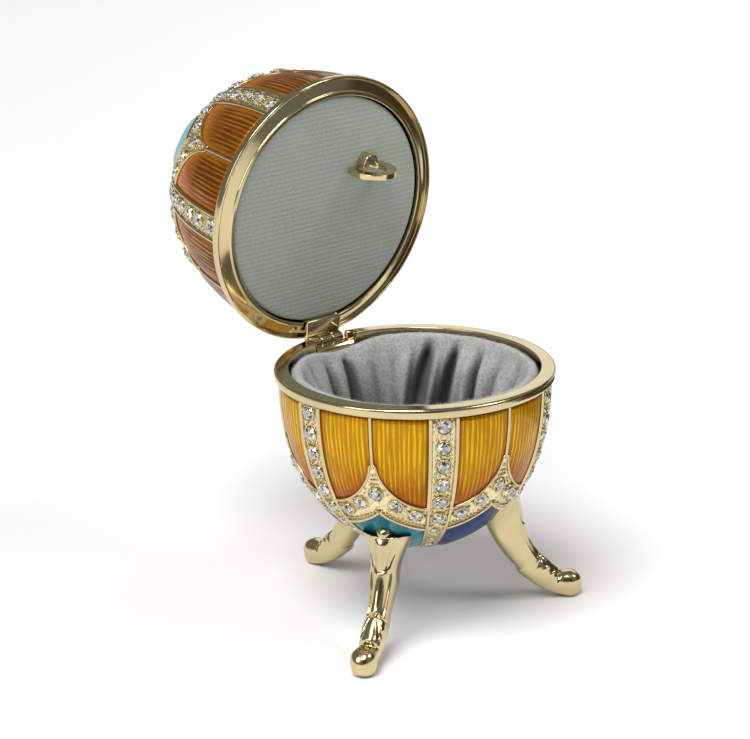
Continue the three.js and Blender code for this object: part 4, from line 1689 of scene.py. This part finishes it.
class EGGBOX_OT_stage(bpy.types.Operator):
    """Lay the floor, and place the lights and the camera"""

    bl_idname = "eggbox.stage"
    bl_label = "Stage"

    def execute(self, context):
        flat_stage("floor", (FLOOR_SIDE, FLOOR_SIDE), Matrix.Identity(4), FINISHES["floor"])

        scene = context.scene
        scene.view_settings.view_transform = "Standard"
        world = bpy.data.worlds.new("studio")
        world.use_nodes = True
        backdrop = world.node_tree.nodes["Background"].inputs
        backdrop["Color"].default_value = (1, 1, 1, 1)
        backdrop["Strength"].default_value = 0.2
        scene.world = world

        sky = bpy.data.lights.new("overhead", "SUN")
        sky.energy = 3.0
        sky.angle = math.radians(34)
        linked("overhead", sky).matrix_world = looking(Vector((-0.5, -0.2, 1.0)), Vector((0, 0, 0)))
        # Places are from the middle of the cup's mouth, in metres.
        middle = Vector((AXIS.x, AXIS.y, RIM_HEIGHT)) * MM
        for name, place, size, power in (
                ("left_softbox", (-0.75, 0.0, 0.45), (0.3, 0.5), 1.5),
                ("right_softbox", (0.4, -0.55, 0.75), (0.3, 0.4), 2.4),
                ("back_softbox", (0.84, 0.54, 0.4), (0.7, 0.45), 0.9)):
            softbox(name, middle + Vector(place), middle, size, power)
        for name, place, size in (
                ("card_behind_camera", (-0.42, -0.5, 0.2), (0.5, 0.45)),
                ("card_before_lid", (0.24, -0.14, 0.03), (0.3, 0.15)),
                ("card_overhead", (-0.3, 0.05, 0.48), (0.3, 0.3))):
            dark_card(name, middle + Vector(place), middle, size)
        by_floor = Vector((0.2, -0.1, 0.004))
        dark_card("card_on_floor", by_floor, by_floor - Vector((0, 0.001, 1)), (0.18, 0.26))

        view = bpy.data.cameras.new("camera")
        view.lens, view.sensor_width = 102.6, 36
        view.clip_start, view.clip_end = 0.01, 100
        camera = linked("camera", view)
        camera.matrix_world = looking(CAMERA_EYE * MM, CAMERA_AIM * MM, math.radians(-0.771))
        scene.camera = camera
        return {"FINISHED"}


STEPS = (
    EGGBOX_OT_finishes, EGGBOX_OT_stage, EGGBOX_OT_castings, EGGBOX_OT_beds, EGGBOX_OT_enamels,
    EGGBOX_OT_wires, EGGBOX_OT_stones, EGGBOX_OT_grains, EGGBOX_OT_rims, EGGBOX_OT_hinge,
    EGGBOX_OT_legs, EGGBOX_OT_pouch, EGGBOX_OT_twill, EGGBOX_OT_eye,
)


class EGGBOX_PT_panel(bpy.types.Panel):
    """The steps that build the egg box, with its sizes and colours"""

    bl_idname = "EGGBOX_PT_panel"
    bl_label = "Egg Box"
    bl_space_type = "VIEW_3D"
    bl_region_type = "UI"
    bl_category = "Egg Box"

    def draw(self, context):
        for step in STEPS:
            self.layout.operator(step.bl_idname)
        for group in (sizes(), colours()):
            box = self.layout.box()
            for name in type(group).__annotations__:
                box.prop(group, name)


CLASSES = (EggBoxSizes, EggBoxColours, *STEPS, EGGBOX_PT_panel)


def register():
    for made in CLASSES:
        bpy.utils.register_class(made)
    bpy.types.Scene.egg_box_sizes = PointerProperty(type=EggBoxSizes)
    bpy.types.Scene.egg_box_colours = PointerProperty(type=EggBoxColours)


def unregister():
    del bpy.types.Scene.egg_box_colours
    del bpy.types.Scene.egg_box_sizes
    for made in reversed(CLASSES):
        bpy.utils.unregister_class(made)


def main():
    register()
    for step in STEPS:
        group, name = step.bl_idname.split(".")
        getattr(getattr(bpy.ops, group), name)()


if __name__ == "__main__":
    main()
